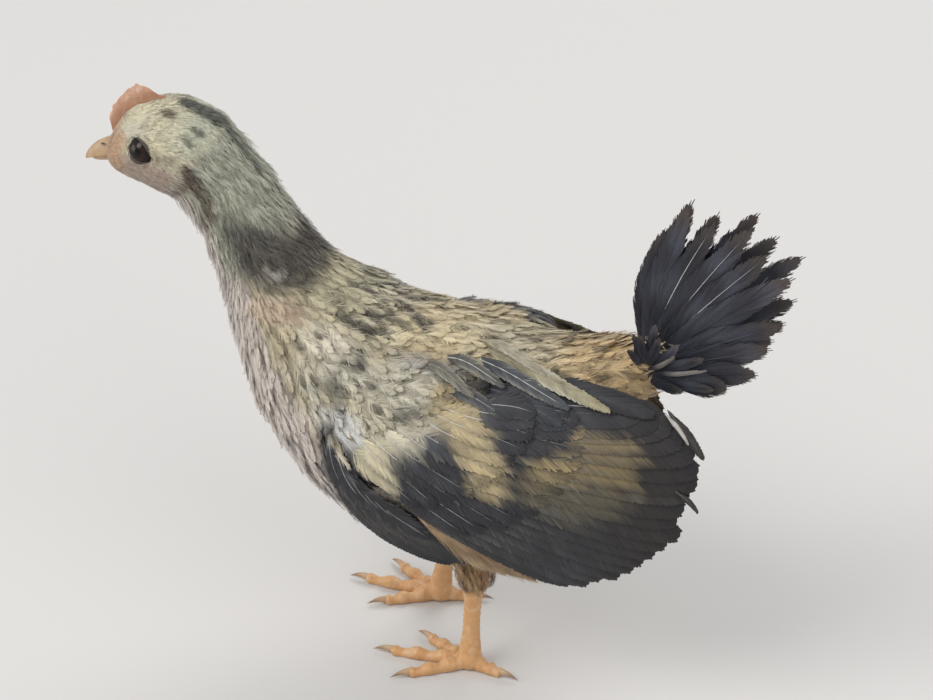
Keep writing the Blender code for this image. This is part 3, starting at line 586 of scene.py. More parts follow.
# %% Ground colours of the coat and of the wing
def coat_colours(points, around):
    """The colour of the coat at points in mm, as linear rows."""
    along, height, _, _, _ = around
    broad, fine, cut = clouds(points, 26, 1), clouds(points, 7, 2), clouds(points, 4, 8)
    tint = plain(points, "B7AB8B")
    tint = over(tint, "CBC3AA", 0.6 * ramp(broad, -0.2, 0.9))
    tint = over(tint, "A5977A", 0.6 * ramp(fine, 0.1, 0.9))
    tint = over(tint, "8A816A", 0.25 * ramp(cut, 0.3, 1.0) * ramp(along, 9.5, 8.5))
    front = ramp(height + 0.12 * fine, 0.25, -0.3) * ramp(along, 5.6, 7.2)
    tint = over(tint, "CBBFB5", front)
    tint = over(tint, "D5CBC0", front * ramp(broad, 0.0, 0.9) * 0.7)
    tint = over(tint, "A8A098", front * ramp(cut, 0.3, 0.9) * 0.35)
    tint = over(tint, "BBA07A", ramp(height, 0.15, -0.3) * ramp(along, 6.3, 5.0))
    rump = ramp(along, 4.7, 3.3) * ramp(height, -0.8, 0.0)
    tint = over(tint, "BA9B69", rump * 0.9)
    tint = over(tint, "CBB587", rump * ramp(fine, 0.0, 0.8) * 0.7)
    tint = over(tint, "6F6048", rump * ramp(cut, 0.35, 0.9) * 0.3)
    tint = over(tint, "A39680", ramp(along, 1.3, 0.8))
    neck = ramp(along + 0.2 * fine, 10.6, 11.4) * ramp(along, 14.4, 13.8) * ramp(height, -0.62, -0.2)
    tint = over(tint, "A1A28E", neck)
    tint = over(tint, "87897A", neck * ramp(cut, 0.1, 0.8) * 0.5)
    tint = over(tint, "B9B7A4", neck * ramp(cut, -0.1, -0.8) * 0.5)
    upper = 12.1 - 1.2 * ramp(height, 0.2, 0.95) + 0.15 * fine
    lower = 10.6 - 1.0 * ramp(height, 0.2, 0.8) + 0.15 * fine
    collar = ramp(along, lower - 0.35, lower + 0.3) * ramp(along, upper + 0.45, upper - 0.3)
    tint = over(tint, "45403C", collar * ramp(height, -0.3, 0.15) * 0.95)
    throat = ramp(height, -0.3, -0.62) * ramp(along, 9.2, 10.4)
    tint = over(tint, "B9AFA6", throat)
    head = ramp(along, 13.8, 14.3)
    tint = over(tint, "C6BEA0", head * ramp(height, -0.35, 0.0))
    tint = over(tint, "BDC0AB", head * ramp(height, 0.2, 0.7) * ramp(along, 15.4, 14.2) * 0.8)
    tint = over(tint, "B5B3A0", head * ramp(along, 15.5, 16.0) * hump(height, 0.35, 0.6, 0.2) * 0.6)
    tint = over(tint, "A89383", head * ramp(height, 0.05, -0.2))
    face = ramp(along - 0.55 * ramp(height, 0.3, 0.7) + 0.25 * ramp(height, -0.1, -0.3), 16.05, 16.75)
    tint = over(tint, "AE8B6B", face)
    return marked(tint, points)


def wing_colours(points):
    """The colour of wing feathers at points in mm: charcoal, and whatever is drawn over it."""
    grain = clouds(points * (1, 1, 2.2), 5, 5)
    tint = plain(points, "2B2B2F")
    tint = over(tint, "404247", 0.4 * ramp(grain, -0.2, 0.9))
    tint = over(tint, "C3B99A", ramp(points[:, 2], 87, 90) * ramp(points[:, 0], 10, 2))
    tint = over(tint, "2B2623", 0.8 * ramp(points[:, 0], 36, 54))
    return marked(tint, points)


# %% [markdown]
# ## How a feather is made
# A feather is a shaft with a row of barbs on each side. Each barb here is a thin closed strand, three-sided
# and pointed, so the edge of the feather frays as a real one does and every strand is solid mesh that
# survives an export. Hair curves or particles would look alike, but they are lost outside Blender.
# All strands of all feathers of a piece are worked out at once as arrays, since a loop over a hundred
# thousand strands would take minutes: the feather's line and its sideways direction are known at a few
# stations, and a polynomial through those gives them anywhere between.
# %% A feather's line and the space about it
def between(stations, share):
    """Values known at even stations, (M, K, 3), read at a share for each row, and straight on past 1."""
    count = stations.shape[1]
    knots = np.linspace(0, 1, count)
    inside = np.minimum(share, 1.0)
    weights = np.ones((len(share), count))
    for k in range(count):
        for j in range(count):
            if j != k:
                weights[:, k] *= (inside - knots[j]) / (knots[k] - knots[j])
    past = (share - inside)[:, None]
    return (weights[:, :, None] * stations).sum(1) + (stations[:, -1] - stations[:, -2]) * past * (count - 1)


def tube_faces(rings, corners=3):
    """The faces of a closed tube with this many rings and a point at its end, as triangles."""
    faces = [(0, k + 1, k) for k in range(1, corners - 1)]
    for ring in range(rings - 1):
        a, b = ring * corners, (ring + 1) * corners
        for k in range(corners):
            j = (k + 1) % corners
            faces += [(a + k, a + j, b + j), (a + k, b + j, b + k)]
    last = (rings - 1) * corners
    faces += [(last + k, last + (k + 1) % corners, rings * corners) for k in range(corners)]
    return np.array(faces)


def lay(feathers, which, share, across, lift):
    """Points of feathers: share along the shaft, offset across it and lift off it, in mm."""
    line, sideways = feathers["line"][which], feathers["sideways"][which]
    here = between(line, share)
    ahead = unit(between(line, share + 0.02) - between(line, share - 0.02))
    side = unit(between(sideways, share))
    up = unit(np.cross(ahead, side))
    drop = feathers["camber"][which] * (across / feathers["half"][which]) ** 2
    return here + side * across[:, None] + up * (lift - drop)[:, None], up


# %% Strands, barbs and shafts
GRAIN = np.random.default_rng(3)  # each strand is a little lighter or darker than its neighbours


def strands(feathers, which, shares, acrosses, lifts, widths, thick):
    """Closed strands on feathers. shares, acrosses and lifts are (M, rings + 1), widths are (M, rings)."""
    rings = widths.shape[1]
    centres, ups = [], []
    for k in range(rings + 1):
        centre, up = lay(feathers, which, shares[:, k], acrosses[:, k], lifts[:, k])
        centres.append(centre)
        ups.append(up)
    corners = []
    for k in range(rings):
        ahead = unit(centres[k + 1] - centres[max(k - 1, 0)])
        edge = unit(np.cross(ups[k], ahead)) * widths[:, k : k + 1]
        ridge = unit(np.cross(ahead, edge)) * thick[:, None]
        corners += [centres[k] - edge, centres[k] + edge, centres[k] + ridge]
    corners.append(centres[rings])
    places = np.stack(corners, axis=1)
    levels = np.append(np.repeat(np.arange(rings), 3), rings)
    return {
        "places": places,
        "up": np.stack(ups, axis=1)[:, levels],
        "faces": tube_faces(rings),
        "which": which,
        "share": shares[:, levels],
        "across": acrosses[:, levels] / feathers["half"][which][:, None],
        "shaft": np.zeros(len(which), bool),
        "grain": GRAIN.normal(size=len(which)),
    }


def barbs(feathers, count, steps, style, draw):
    """Both rows of barbs of every feather: count on each side, with rings at these shares of each barb."""
    number, rings = len(feathers["half"]), len(steps)
    which = np.repeat(np.arange(number), count * 2)
    order = np.tile(np.repeat(np.arange(count), 2), number)
    side = np.tile((-1.0, 1.0), number * count)
    total = len(which)
    clump = ((which * 2 + (side > 0)) * (count // style["clump"] + 1) + order // style["clump"])
    leaning = draw.normal(size=clump.max() + 1)[clump]
    q = np.clip((order + draw.uniform(-0.3, 0.3, total)) / max(count - 1, 1), 0, 1)
    length, half = feathers["length"][which], feathers["half"][which]
    root = style["bare"] + (0.965 - style["bare"]) * q
    slant = half / math.tan(math.radians(style["angle"])) / length
    rise = np.clip(q / style["neck"], 0.15, 1) ** 0.7
    reach = slant * rise * (1 - 0.75 * q**3) * (1 + draw.normal(0, style["untidy"], total))
    reach = reach + leaning * style["split"] * slant
    end = np.minimum(root + reach, 1 - 0.35 * (1 - root) + 0.2 * style["frayed"] * draw.uniform(size=total))
    end = np.maximum(end, root + 0.02)
    wide = half * rise * np.sqrt(np.clip(1 - np.clip(end, 0, 1) ** style["blunt"], 0, 1))
    ragged = style["untidy"] + style["frayed"] * ramp(q, 0.5, 1.0)
    wide = wide * (1 + draw.normal(0, 1, total) * ragged) + leaning * style["split"] * half * 0.5
    wide = np.clip(wide, 0.05 * half, 1.25 * half)
    pace = length * (0.965 - style["bare"]) / max(count, 1)
    broad = style["overlap"] * pace * math.sin(math.radians(style["angle"])) * 0.5 + style["finest"]
    base_lift = draw.uniform(0, 0.05, total)
    loft = (draw.normal(size=total) + leaning) * style["loose"] * np.minimum(half, 1.0)
    shares, acrosses, lifts, widths = [], [], [], []
    for k, step in enumerate((*steps, 1.0)):
        shares.append(root + (end - root) * step ** (1 + style["sweep"]))
        acrosses.append(side * (0.02 * half + wide * step ** (1 / (1 + style["sweep"]))))
        lifts.append(base_lift + loft * step**1.5)
        if k < rings:
            widths.append(broad * (1 - style["taper"] * step))
    stack = [np.stack(rows, axis=1) for rows in (shares, acrosses, lifts, widths)]
    return strands(feathers, which, *stack, np.full(total, style["thick"]))


def shafts(feathers, rings, half_width):
    """The shaft of every feather, tapered to its tip, standing a little above the barbs."""
    number = len(feathers["half"])
    which = np.arange(number)
    steps = np.linspace(0, 0.985, rings + 1)
    shares = np.tile(steps, (number, 1))
    acrosses = np.zeros_like(shares)
    lifts = np.full_like(shares, 0.04)
    widths = half_width * (1 - 0.75 * steps[:rings])[None] * np.ones((number, 1))
    made = strands(feathers, which, shares, acrosses, lifts, widths, np.full(number, half_width * 1.3))
    made["shaft"][:] = True
    return made


# %% The sheet under the barbs
PLATE_RING = (  # share of the half-width and lift in mm, once round the sheet's edge, lower face first
    (-1.0, -0.05), (-0.5, -0.09), (0.0, -0.09), (0.5, -0.09),
    (1.0, -0.05), (0.5, -0.01), (0.0, 0.0), (-0.5, -0.01),
)
SMALL_RING = ((-1.0, -0.06), (0.0, -0.12), (1.0, -0.06), (0.0, -0.02))


def vanes(feathers, style, cover=0.97, rings=12, ring=PLATE_RING):
    """The closed sheet that the barbs of each feather hook into, a little narrower than their tips."""
    number = len(feathers["half"])
    which = np.arange(number)
    length, half = feathers["length"], feathers["half"]
    slant = half / math.tan(math.radians(style["angle"])) / length
    spread = np.sin(np.linspace(0, math.pi / 2, rings))
    steps = np.append(style["bare"] + (0.98 - style["bare"]) * spread, 0.99)
    tip_corner = ring[len(ring) * 3 // 4]  # the middle of the upper face, where the sheet closes to a point
    rows, ups, shares, acrosses = [], [], [], []
    for k, step in enumerate(steps):
        share = np.full(number, step)
        q = np.clip((step - style["bare"] - 0.8 * slant) / (0.965 - style["bare"]), 0, 1)
        wide = cover * half * np.clip(q / style["neck"], 0.15, 1) ** 0.7
        wide = wide * math.sqrt(max(0.0, 1 - step ** style["blunt"]))
        for place, lift in ring if k < rings else (tip_corner,):
            across = wide * place
            point, up = lay(feathers, which, share, across, np.full(number, lift))
            rows.append(point)
            ups.append(up)
            shares.append(share)
            acrosses.append(across / half)
    return {
        "places": np.stack(rows, axis=1),
        "up": np.stack(ups, axis=1),
        "faces": tube_faces(rings, len(ring)),
        "which": which,
        "share": np.stack(shares, axis=1),
        "across": np.stack(acrosses, axis=1),
        "shaft": np.zeros(number, bool),
        "grain": np.zeros(number),
    }


# %% From strands to a piece
PATCH = 0.003  # the width of one feather's patch in the map that a bake uses
SOFTNESS = 0.75  # how far a barb is shaded as part of its whole feather
FADED = 0.9  # light that bounces from barb to barb deepens a colour, so each is made paler by this much
GRAY_SHARES = (0.2126, 0.7152, 0.0722)  # how bright red, green and blue light look to the eye
COAT_TRIANGLES = {}


def feather_mesh(name, feathers, parts, paint, finishes):
    """Joins strands into one mesh with its colours and its map, as a piece."""
    rows = {key: [] for key in ("places", "up", "faces", "tints", "maps")}
    start = 0
    for part in parts:
        count, corners = part["places"].shape[:2]
        at = {key: np.repeat(part[key], corners) for key in ("which", "shaft", "grain")}
        at["points"] = part["places"].reshape(-1, 3)
        at["share"], at["across"] = part["share"].ravel(), part["across"].ravel()
        rows["places"].append(at["points"])
        rows["up"].append(part["up"].reshape(-1, 3))
        first_corners = start + np.arange(count) * corners
        rows["faces"].append((part["faces"][None] + first_corners[:, None, None]).reshape(-1, 3))
        tint = paint(at) * (1 + 0.07 * at["grain"])[:, None]
        gray = tint @ np.array(GRAY_SHARES)
        rows["tints"].append(gray[:, None] + (tint - gray[:, None]) * FADED)
        offset = np.stack([np.clip(at["across"], -1, 1) * 0.5, np.clip(at["share"], 0, 1) - 0.5], axis=1)
        rows["maps"].append(feathers["map"][at["which"]] + offset * PATCH)
        start += count * corners
    places, up, faces, tints, maps = (np.concatenate(value) for value in rows.values())
    mesh = bpy.data.meshes.new(name)
    mesh.vertices.add(len(places))
    mesh.vertices.foreach_set("co", to_frame(places).ravel())
    mesh.loops.add(faces.size)
    mesh.loops.foreach_set("vertex_index", faces.ravel().astype(np.int32))
    mesh.polygons.add(len(faces))
    mesh.polygons.foreach_set("loop_start", np.arange(0, faces.size, 3, dtype=np.int32))
    mesh.update(calc_edges=True)
    tinted(mesh, tints)
    mesh.uv_layers.new(name="OFBake").data.foreach_set("uv", maps[faces.ravel()].ravel())
    mesh.validate()
    COAT_TRIANGLES[name] = len(faces)
    piece = link(name, mesh, finishes)
    a, b, c = (places[faces[:, k]] for k in range(3))
    outward = unit(np.cross(b - a, c - a))
    smooth = points_of(mesh)[1][faces]
    whole = up[faces]
    whole = whole * np.where((whole * outward[:, None]).sum(-1, keepdims=True) < -0.5, -1, 1)
    shaded = unit(smooth * (1 - SOFTNESS) + whole * SOFTNESS)
    mesh.normals_split_custom_set(shaded.reshape(-1, 3))
    return piece


# %% [markdown]
# ## Where the feathers grow
# Feathers grow in rows that leave even spaces. Points are drawn at random over the skin's triangles, and a
# point is kept only if no kept point is nearer than the zone's spacing. Each feather then starts in the
# skin, heads along the lie of the coat and is draped: its line is walked over the skin in three steps, and
# each step is lifted a little more, so that its tip lies over the roots of the next ones.
# %% Roots spread over the skin
skin_mesh.calc_loop_triangles()
triangles = np.empty(len(skin_mesh.loop_triangles) * 3, int)
skin_mesh.loop_triangles.foreach_get("vertices", triangles)
triangles = triangles.reshape(-1, 3)
SKIN_TREE = BVHTree.FromPolygons([Vector(p) for p in skin_points], [tuple(t) for t in triangles.tolist()])


def scatter_roots(seed, candidates=120000):
    """Root points over the skin, spaced as their zones ask, with their zones and their maps."""
    draw = np.random.default_rng(seed)
    a, b, c = (skin_points[triangles[:, k]] for k in range(3))
    areas = np.linalg.norm(np.cross(b - a, c - a), axis=1) / 2
    print("skin area in square mm:", round(areas.sum()))
    chosen = draw.choice(len(triangles), candidates, p=areas / areas.sum())
    r = draw.uniform(size=(candidates, 2))
    flip = r.sum(1) > 1
    r[flip] = 1 - r[flip]
    points = a[chosen] + (b[chosen] - a[chosen]) * r[:, :1] + (c[chosen] - a[chosen]) * r[:, 1:]
    zone, around = zone_of(points)
    spacing = ZONE_SIZES[zone, 3]
    tree = KDTree(candidates)
    for i, point in enumerate(points):
        tree.insert(point, i)
    tree.balance()
    alive = np.ones(candidates, bool)
    kept = []
    for i in range(candidates):
        if alive[i]:
            kept.append(i)
            for _, j, _ in tree.find_range(points[i], spacing[i]):
                alive[j] = False
    return points[kept], zone[kept], tuple(rows[kept] for rows in around)


roots, root_zone, root_map = scatter_roots(11)
print("roots:", len(roots), {name: int((root_zone == i).sum()) for name, i in ZONE_INDEX.items()})


# %% The lie of the coat, and its flat map
def coat_lie(points, zone, around):
    """The way the coat lies at points: along the body towards the tail, drooping a little on the sides, and
    swayed in tufts a few millimetres across."""
    along, height, _, belly_way, back_way = around
    share = np.clip((height + 1) / 2, 0, 1)[:, None]
    way = belly_way + (back_way - belly_way) * share
    droop = 0.30 * np.clip(1 - height**2, 0, 1) * ramp(along, 10.5, 8.5)
    way[:, 2] -= droop
    side = np.sign(points[:, 1])
    wing = in_zones(zone, "wing")
    heading = np.radians(-10 - 30 * ramp(points[:, 2], 72, 56) - 14 * ramp(points[:, 0], 0, -20))
    way[wing] = np.stack([np.cos(heading), heading * 0, np.sin(heading)], axis=1)[wing]
    for side_name, leg_side in SIDES.items():
        on_leg = in_zones(zone, "thigh") & (side == leg_side)
        down = np.array((HOCK[side_name][0] - THIGH_TOP[0] + 4, 0, HOCK[side_name][1] - THIGH_TOP[1]))
        way[on_leg] = unit(down)
    sway = np.stack([clouds(points, 9, seed) for seed in (71, 72, 73)], axis=1)
    tousled = np.where(along > 13.9, 0.12, 0.26)
    return unit(unit(way) + sway * tousled[:, None])


def wing_strip(x, z, right):
    """The place of points of a wing on the flat map, where each side has a strip of its own."""
    return 0.02 + right * 0.49 + 0.45 * (x + 32) / 100, 0.66 + 0.16 * (z - 28) / 80


def skin_map_of(points, zone, around):
    """The place of points on a flat map of the skin: trunk below, wings and thighs in strips above."""
    along, height, half, _, _ = around
    x, y, z = points.T
    turn = np.arctan2(y / half, height)
    flat = np.stack([0.02 + 0.96 * along / 18, 0.02 + 0.60 * (turn + math.pi) / (2 * math.pi)], axis=1)
    wing, thigh = in_zones(zone, "wing"), in_zones(zone, "thigh")
    flat[wing] = np.stack(wing_strip(x, z, y > 0), axis=1)[wing]
    turn = np.arctan2(np.abs(y) - HIP_Y, x - THIGH_TOP[0])
    across_thigh = 0.04 + (y > 0) * 0.49 + 0.40 * (turn + math.pi) / 6.3
    flat[thigh] = np.stack([across_thigh, 0.85 + 0.12 * (z - 25) / 30], axis=1)[thigh]
    return flat


# %% Draping over the skin
DRAPE_STEPS = 3


def draped(points, way, length, half, lift, sink, flat, tree=SKIN_TREE):
    """Feathers laid over the skin from their roots, which lie as deep in it as sink says."""
    number = len(points)
    deep = np.broadcast_to(sink, number)
    line = np.empty((number, DRAPE_STEPS + 1, 3))
    sideways = np.empty_like(line)
    for i in range(number):
        place, normal, _, _ = tree.find_nearest(points[i])
        heading = Vector(way[i])
        step = length[i] / DRAPE_STEPS
        for k in range(DRAPE_STEPS + 1):
            heading -= normal * heading.dot(normal)
            heading.normalize()
            height = -deep[i] + (lift[i] + deep[i]) * (k / DRAPE_STEPS) ** 0.8
            line[i, k] = place + normal * height
            sideways[i, k] = normal.cross(heading)
            if k < DRAPE_STEPS:
                place, normal, _, _ = tree.find_nearest(place + heading * step)
    return {
        "line": line,
        "sideways": sideways,
        "length": length,
        "half": half,
        "camber": half * 0.12,
        "map": flat,
    }


# %% [markdown]
# ## Finishes
# Feathers are keratin: dull along the vane, with a soft sheen where barbs catch the light side on. Skin is
# softer and lets a little light through. Colours come from the Tint attribute, which the markings filled,
# and noise set from real sizes varies them. One small helper adds a node with its settings and links.
# Skin and horn are built alike: mottled in patches, and raised in grains or scales.
# %% How a finish is put together
def add(tree, kind, settings=None, **inputs):
    """Adds a node, with its settings, and feeds its inputs with values or with other nodes' outputs. An input
    is called by its name, or by i and its number where its name isn't its own."""
    made = tree.nodes.new(kind)
    for name, value in (settings or {}).items():
        setattr(made, name, value)
    for name, value in inputs.items():
        socket = made.inputs[int(name[1:])] if name[0] == "i" and name[1:].isdigit() else made.inputs[name]
        if isinstance(value, bpy.types.NodeSocket):
            tree.links.new(value, socket)
        else:
            socket.default_value = value
    return made


def finish(name, roughness, **sockets):
    """A new material with its tree and shader. Sockets that are the same all over are set on the shader."""
    made = bpy.data.materials.new(name)
    made.use_nodes = True
    shader = made.node_tree.nodes["Principled BSDF"]
    shader.inputs["Roughness"].default_value = roughness
    for socket, value in sockets.items():
        shader.inputs[socket.replace("_", " ")].default_value = value
    return made, made.node_tree, shader


def mottled(tree, shader, size_mm, detail, code, share=1.0):
    """Colours a finish by the Tint attribute, with another colour multiplied in where its patches lie."""
    place = add(tree, "ShaderNodeTexCoord").outputs["Object"]
    noise = add(tree, "ShaderNodeTexNoise", None, Vector=place, Scale=1 / (size_mm * MM), Detail=detail)
    tint = add(tree, "ShaderNodeAttribute", {"attribute_name": "Tint"}).outputs["Color"]
    multiply = {"data_type": "RGBA", "blend_type": "MULTIPLY"}
    patches = add(tree, "ShaderNodeMix", multiply, i0=noise.outputs["Fac"], i6=tint, i7=(*linear(code), 1))
    base = add(tree, "ShaderNodeMix", {"data_type": "RGBA"}, i0=share, i6=tint, i7=patches.outputs[2])
    tree.links.new(base.outputs[2], shader.inputs["Base Color"])


def raised(tree, shader, kind, settings, output, size_mm, strength, height_mm, inward=False, **inputs):
    """Gives a finish relief from a texture node whose features have about this size."""
    place = add(tree, "ShaderNodeTexCoord").outputs["Object"]
    relief = add(tree, kind, settings, Vector=place, Scale=1 / (size_mm * MM), **inputs).outputs[output]
    height = height_mm * MM
    bump = add(tree, "ShaderNodeBump", {"invert": inward}, Height=relief, Strength=strength, Distance=height)
    tree.links.new(bump.outputs[0], shader.inputs["Normal"])


# %% Feathers and bare skin
BARB_STREAK = 0.9 * MM  # size of the fine variation along barbs


def feather_finish(name, roughness, sheen, contrast):
    """Keratin barbs: coloured by the Tint attribute, with a fine streaky variation."""
    sockets = {"Sheen_Weight": sheen, "Sheen_Roughness": 0.4, "Specular_IOR_Level": 0.35}
    made, tree, shader = finish(name, roughness, **sockets)
    place = add(tree, "ShaderNodeTexCoord").outputs["Object"]
    noise = add(tree, "ShaderNodeTexNoise", None, Vector=place, Scale=1 / BARB_STREAK, Detail=2.0)
    grain = noise.outputs["Fac"]
    shade = add(tree, "ShaderNodeMapRange", None, Value=grain, i3=1 - contrast, i4=1 + contrast)
    tint = add(tree, "ShaderNodeAttribute", {"attribute_name": "Tint"}).outputs["Color"]
    multiply = {"data_type": "RGBA", "blend_type": "MULTIPLY"}
    colour = add(tree, "ShaderNodeMix", multiply, i0=1.0, i6=tint, i7=shade.outputs[0])
    tree.links.new(colour.outputs[2], shader.inputs["Base Color"])
    return made


def skin_finish():
    """Bare bird skin under the coat and on the face: fine papillae, a little light let through."""
    sockets = {"Subsurface_Weight": 0.12, "Subsurface_Scale": 0.002, "Subsurface_Radius": (1.0, 0.45, 0.3)}
    made, tree, shader = finish("bird_skin", 0.6, **sockets)
    mottled(tree, shader, 3.0, 2.0, "CEBCAD", 0.35)
    raised(tree, shader, "ShaderNodeTexNoise", None, "Fac", 0.5, 0.35, 0.15, Detail=3.0)
    return made


DOWN = feather_finish("soft_down_barbs", 0.85, 0.25, 0.18)
VANE = feather_finish("flight_feather_vane", 0.55, 0.12, 0.14)
SKIN = skin_finish()
print("finishes:", [made.name for made in (DOWN, VANE, SKIN)])

# %% The skin as a piece
skin_tints = streaked(coat_colours(skin_points, skin_map), skin_points)
wing_skin = in_zones(skin_zone, "wing")
skin_tints[wing_skin] = wing_colours(skin_points[wing_skin])
shaded = 1 - 0.3 * ramp(ZONE_SIZES[skin_zone, 0], 0.4, 1.4)  # less light reaches it under a deep coat
tinted(skin_mesh, skin_tints * shaded[:, None])
skin = link("skin", skin_mesh, [SKIN])
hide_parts("head", "neck", "torso", "thigh_left", "thigh_right")

# %% [markdown]
# ## The coat of small feathers
# Every root gets a feather sized by its zone and coloured by the markings along its shaft, with its own
# pattern over them: a grey downy base, sometimes a black streak along the shaft, and a paler edge.
# Neighbouring feathers differ a little in length and width, drawn from a seeded generator.
# %% Styles of soft feathers, and their patterns
DOWN_STYLE = {  # the angle is in degrees, finest and thick are in mm, clump is a count, the rest are shares
    "bare": 0.05, "angle": 24, "blunt": 3.0, "neck": 0.25, "untidy": 0.30, "frayed": 0.40, "split": 0.26,
    "clump": 4, "overlap": 1.3, "finest": 0.04, "taper": 0.5, "loose": 0.24, "sweep": 0.25, "thick": 0.05,
}
HAIR_STYLE = {
    **DOWN_STYLE, "angle": 20, "untidy": 0.26, "split": 0.16,
    "clump": 3, "overlap": 1.1, "finest": 0.035, "loose": 0.2, "thick": 0.03,
}
SOFT_STEPS, VANE_STEPS = (0.0,), (0.0, 0.45, 0.96)  # where along a barb its rings lie
STREAKED_FEATHERS = {  # zone: how strong a streak is, and the portion of feathers that have one
    "back": (0.8, 0.08),
    "rump": (0.7, 0.14),
    "wing": (0.7, 0.06),
    "crown": (0.5, 0.04),
    "neck": (0.3, 0.15),
    "breast": (0.6, 0.04),
}
DOWNY_BASE = (0.1, 0.1, 0.15, 0.2, 0.15, 0.2, 0.25, 0.25, 0.25, 0.3, 0.2, 0.5)  # how grey, zone by zone


def shaft_streaks(feathers, zone, draw):
    """How strong the black streak along each feather's shaft is, which is 0 on most."""
    along, height, _, _, _ = feathers["around"]
    chance = draw.uniform(size=len(zone))
    streak = np.zeros(len(zone))
    for zone_name, (strength, portion) in STREAKED_FEATHERS.items():
        inside = in_zones(zone, zone_name) & (chance < portion)
        if zone_name == "breast":
            inside &= (height > -0.45) & (along > 7)
        streak[inside] = strength
    return streak


def paint_small(feathers, zone, draw):
    """The markings, read at the stations of each feather, and the feather's own pattern over them."""
    wing = in_zones(zone, "wing")
    back = in_zones(zone, "back").any()
    grounds = []
    for k in range(DRAPE_STEPS + 1):
        points = feathers["line"][:, k]
        ground = coat_colours(points, body_map(points))
        if wing.any():
            ground[wing] = wing_colours(points[wing])
        grounds.append(ground)
    grounds = np.stack(grounds) * (1 + 0.07 * draw.normal(size=len(zone)))[None, :, None]
    streak = shaft_streaks(feathers, zone, draw)
    edge = 0.22 * draw.uniform(0.3, 1.0, len(zone))
    base = np.array(DOWNY_BASE)[zone]

    def paint(at):
        which, share, across = at["which"], at["share"], np.abs(at["across"])
        place = np.clip(share, 0, 1) * DRAPE_STEPS
        low = np.minimum(place.astype(int), DRAPE_STEPS - 1)
        rest = (place - low)[:, None]
        tint = grounds[low, which] * (1 - rest) + grounds[low + 1, which] * rest
        tint = streaked(tint, at["points"]) if back else tint
        tint = over(tint, "5F5A50", base[which] * ramp(share, 0.42, 0.12))
        tint = over(tint, "E2DAC4", edge[which] * ramp(across, 0.35, 0.9) * ramp(share, 0.3, 0.6))
        mark = ramp(across, 0.7, 0.35) * ramp(share, 0.48, 0.62)
        tint = over(tint, "37332C", streak[which] * mark)
        return over(tint, "D8D2C2", at["shaft"] * 0.25 * (1 - streak[which]))

    return paint


# %% Small feathers, zone by zone
def small_feathers(name, chosen, style, seed, slot_name):
    """A piece of the coat. Feathers of the same number of barbs are made at once."""
    draw = np.random.default_rng(seed)
    points, zone = roots[chosen], root_zone[chosen]
    around = tuple(rows[chosen] for rows in root_map)
    _, length, half, _, barbs_a_side, lift = ZONE_SIZES[zone].T
    number = len(points)
    towards_tail = in_zones(zone, "rump") * ramp(around[0], 3.2, 1.6)
    sink = np.minimum(0.5, 0.7 * lift)
    length = length * (1 + 0.10 * draw.normal(size=number)) * (1 + 0.55 * towards_tail)
    half = half * (1 + 0.08 * draw.normal(size=number))
    tuft = 1 + 0.45 * clouds(points, 9, 74)
    lift = lift * np.clip(tuft + 0.25 * draw.normal(size=number), 0.35, 2.0) * (1 + 0.5 * towards_tail)
    way = unit(coat_lie(points, zone, around) + 0.10 * draw.normal(size=(number, 3)))
    feathers = draped(points, way, length, half, lift, sink, skin_map_of(points, zone, around))
    feathers["around"] = around
    parts = [shafts(feathers, 2, 0.07)]
    if style is DOWN_STYLE:
        parts.append(vanes(feathers, style, 0.6, 4, SMALL_RING))
    for count in np.unique(barbs_a_side).astype(int):
        some = np.flatnonzero(barbs_a_side == count)
        part = {key: rows[some] for key, rows in feathers.items() if key != "around"}
        made = barbs(part, count, SOFT_STEPS, style, draw)
        made["which"] = some[made["which"]]
        parts.append(made)
    piece = feather_mesh(name, feathers, parts, paint_small(feathers, zone, draw), [DOWN])


COATS = {  # piece: (zones, style, material slot)
    "coat_head": (("face", "cheek", "crown"), HAIR_STYLE, "body_feather"),
    "coat_neck": (("neck", "throat"), HAIR_STYLE, "neck_feather"),
    "coat_breast": (("breast",), DOWN_STYLE, "body_feather"),
    "coat_back": (("back", "rump"), DOWN_STYLE, "body_feather"),
    "coat_belly": (("belly", "hidden", "thigh"), DOWN_STYLE, "body_feather"),
    "coat_wing": (("wing",), DOWN_STYLE, "wing_feather"),
}
for seed, (name, (zones, style, slot_name)) in enumerate(COATS.items()):
    inside = in_zones(root_zone, *zones)
    for side_name, side in SIDES.items():
        chosen = inside & (np.sign(roots[:, 1]) == side)
        small_feathers(f"{name}_{side_name}", chosen, style, 20 + seed * 2 + (side > 0), slot_name)
print("small feathers:", sum(COAT_TRIANGLES.values()), "triangles")

# %% [markdown]
# ## Flight feathers and their coverts
# The wing's long feathers fan out from the forearm and the hand in tiers: secondaries and primaries, with
# greater and median coverts over their bases. Each lies on the wing's shell, tilted a little so that its
# lower edge stands out over the next one, like tiles. They cover the same stretch of wing as the solid
# vanes, in greater number, and their barbs are set close, with wide overlaps, so that the vane closes to a
# smooth sheet that splits only at its edge.
# %% Where the wing's feathers start and end
ARM_LINES = {  # roots of the uppermost and the lowest feather, and a curve through the tips, in x and z
    "left": (
        ((13.0, 86.0), (-20.0, 72.0)),
        (
            (51.0, 88.0), (58.0, 85.5), (63.0, 80.5), (65.0, 74.5), (64.6, 67.5),
            (62.0, 57.2), (57.0, 49.6), (48.8, 41.4), (40.0, 36.8), (35.5, 35.8),
        ),
    ),
    "right": (
        ((9.0, 78.5), (-20.0, 69.0)),
        ((33.0, 74.0), (42.0, 68.0), (46.0, 58.0), (42.0, 48.0), (31.0, 42.0)),
    ),
}
HAND_LINES = (((-10.5, 54.0), (-23.5, 69.0)), ((12.0, 41.5), (10.5, 38.3), (3.5, 36.6)))
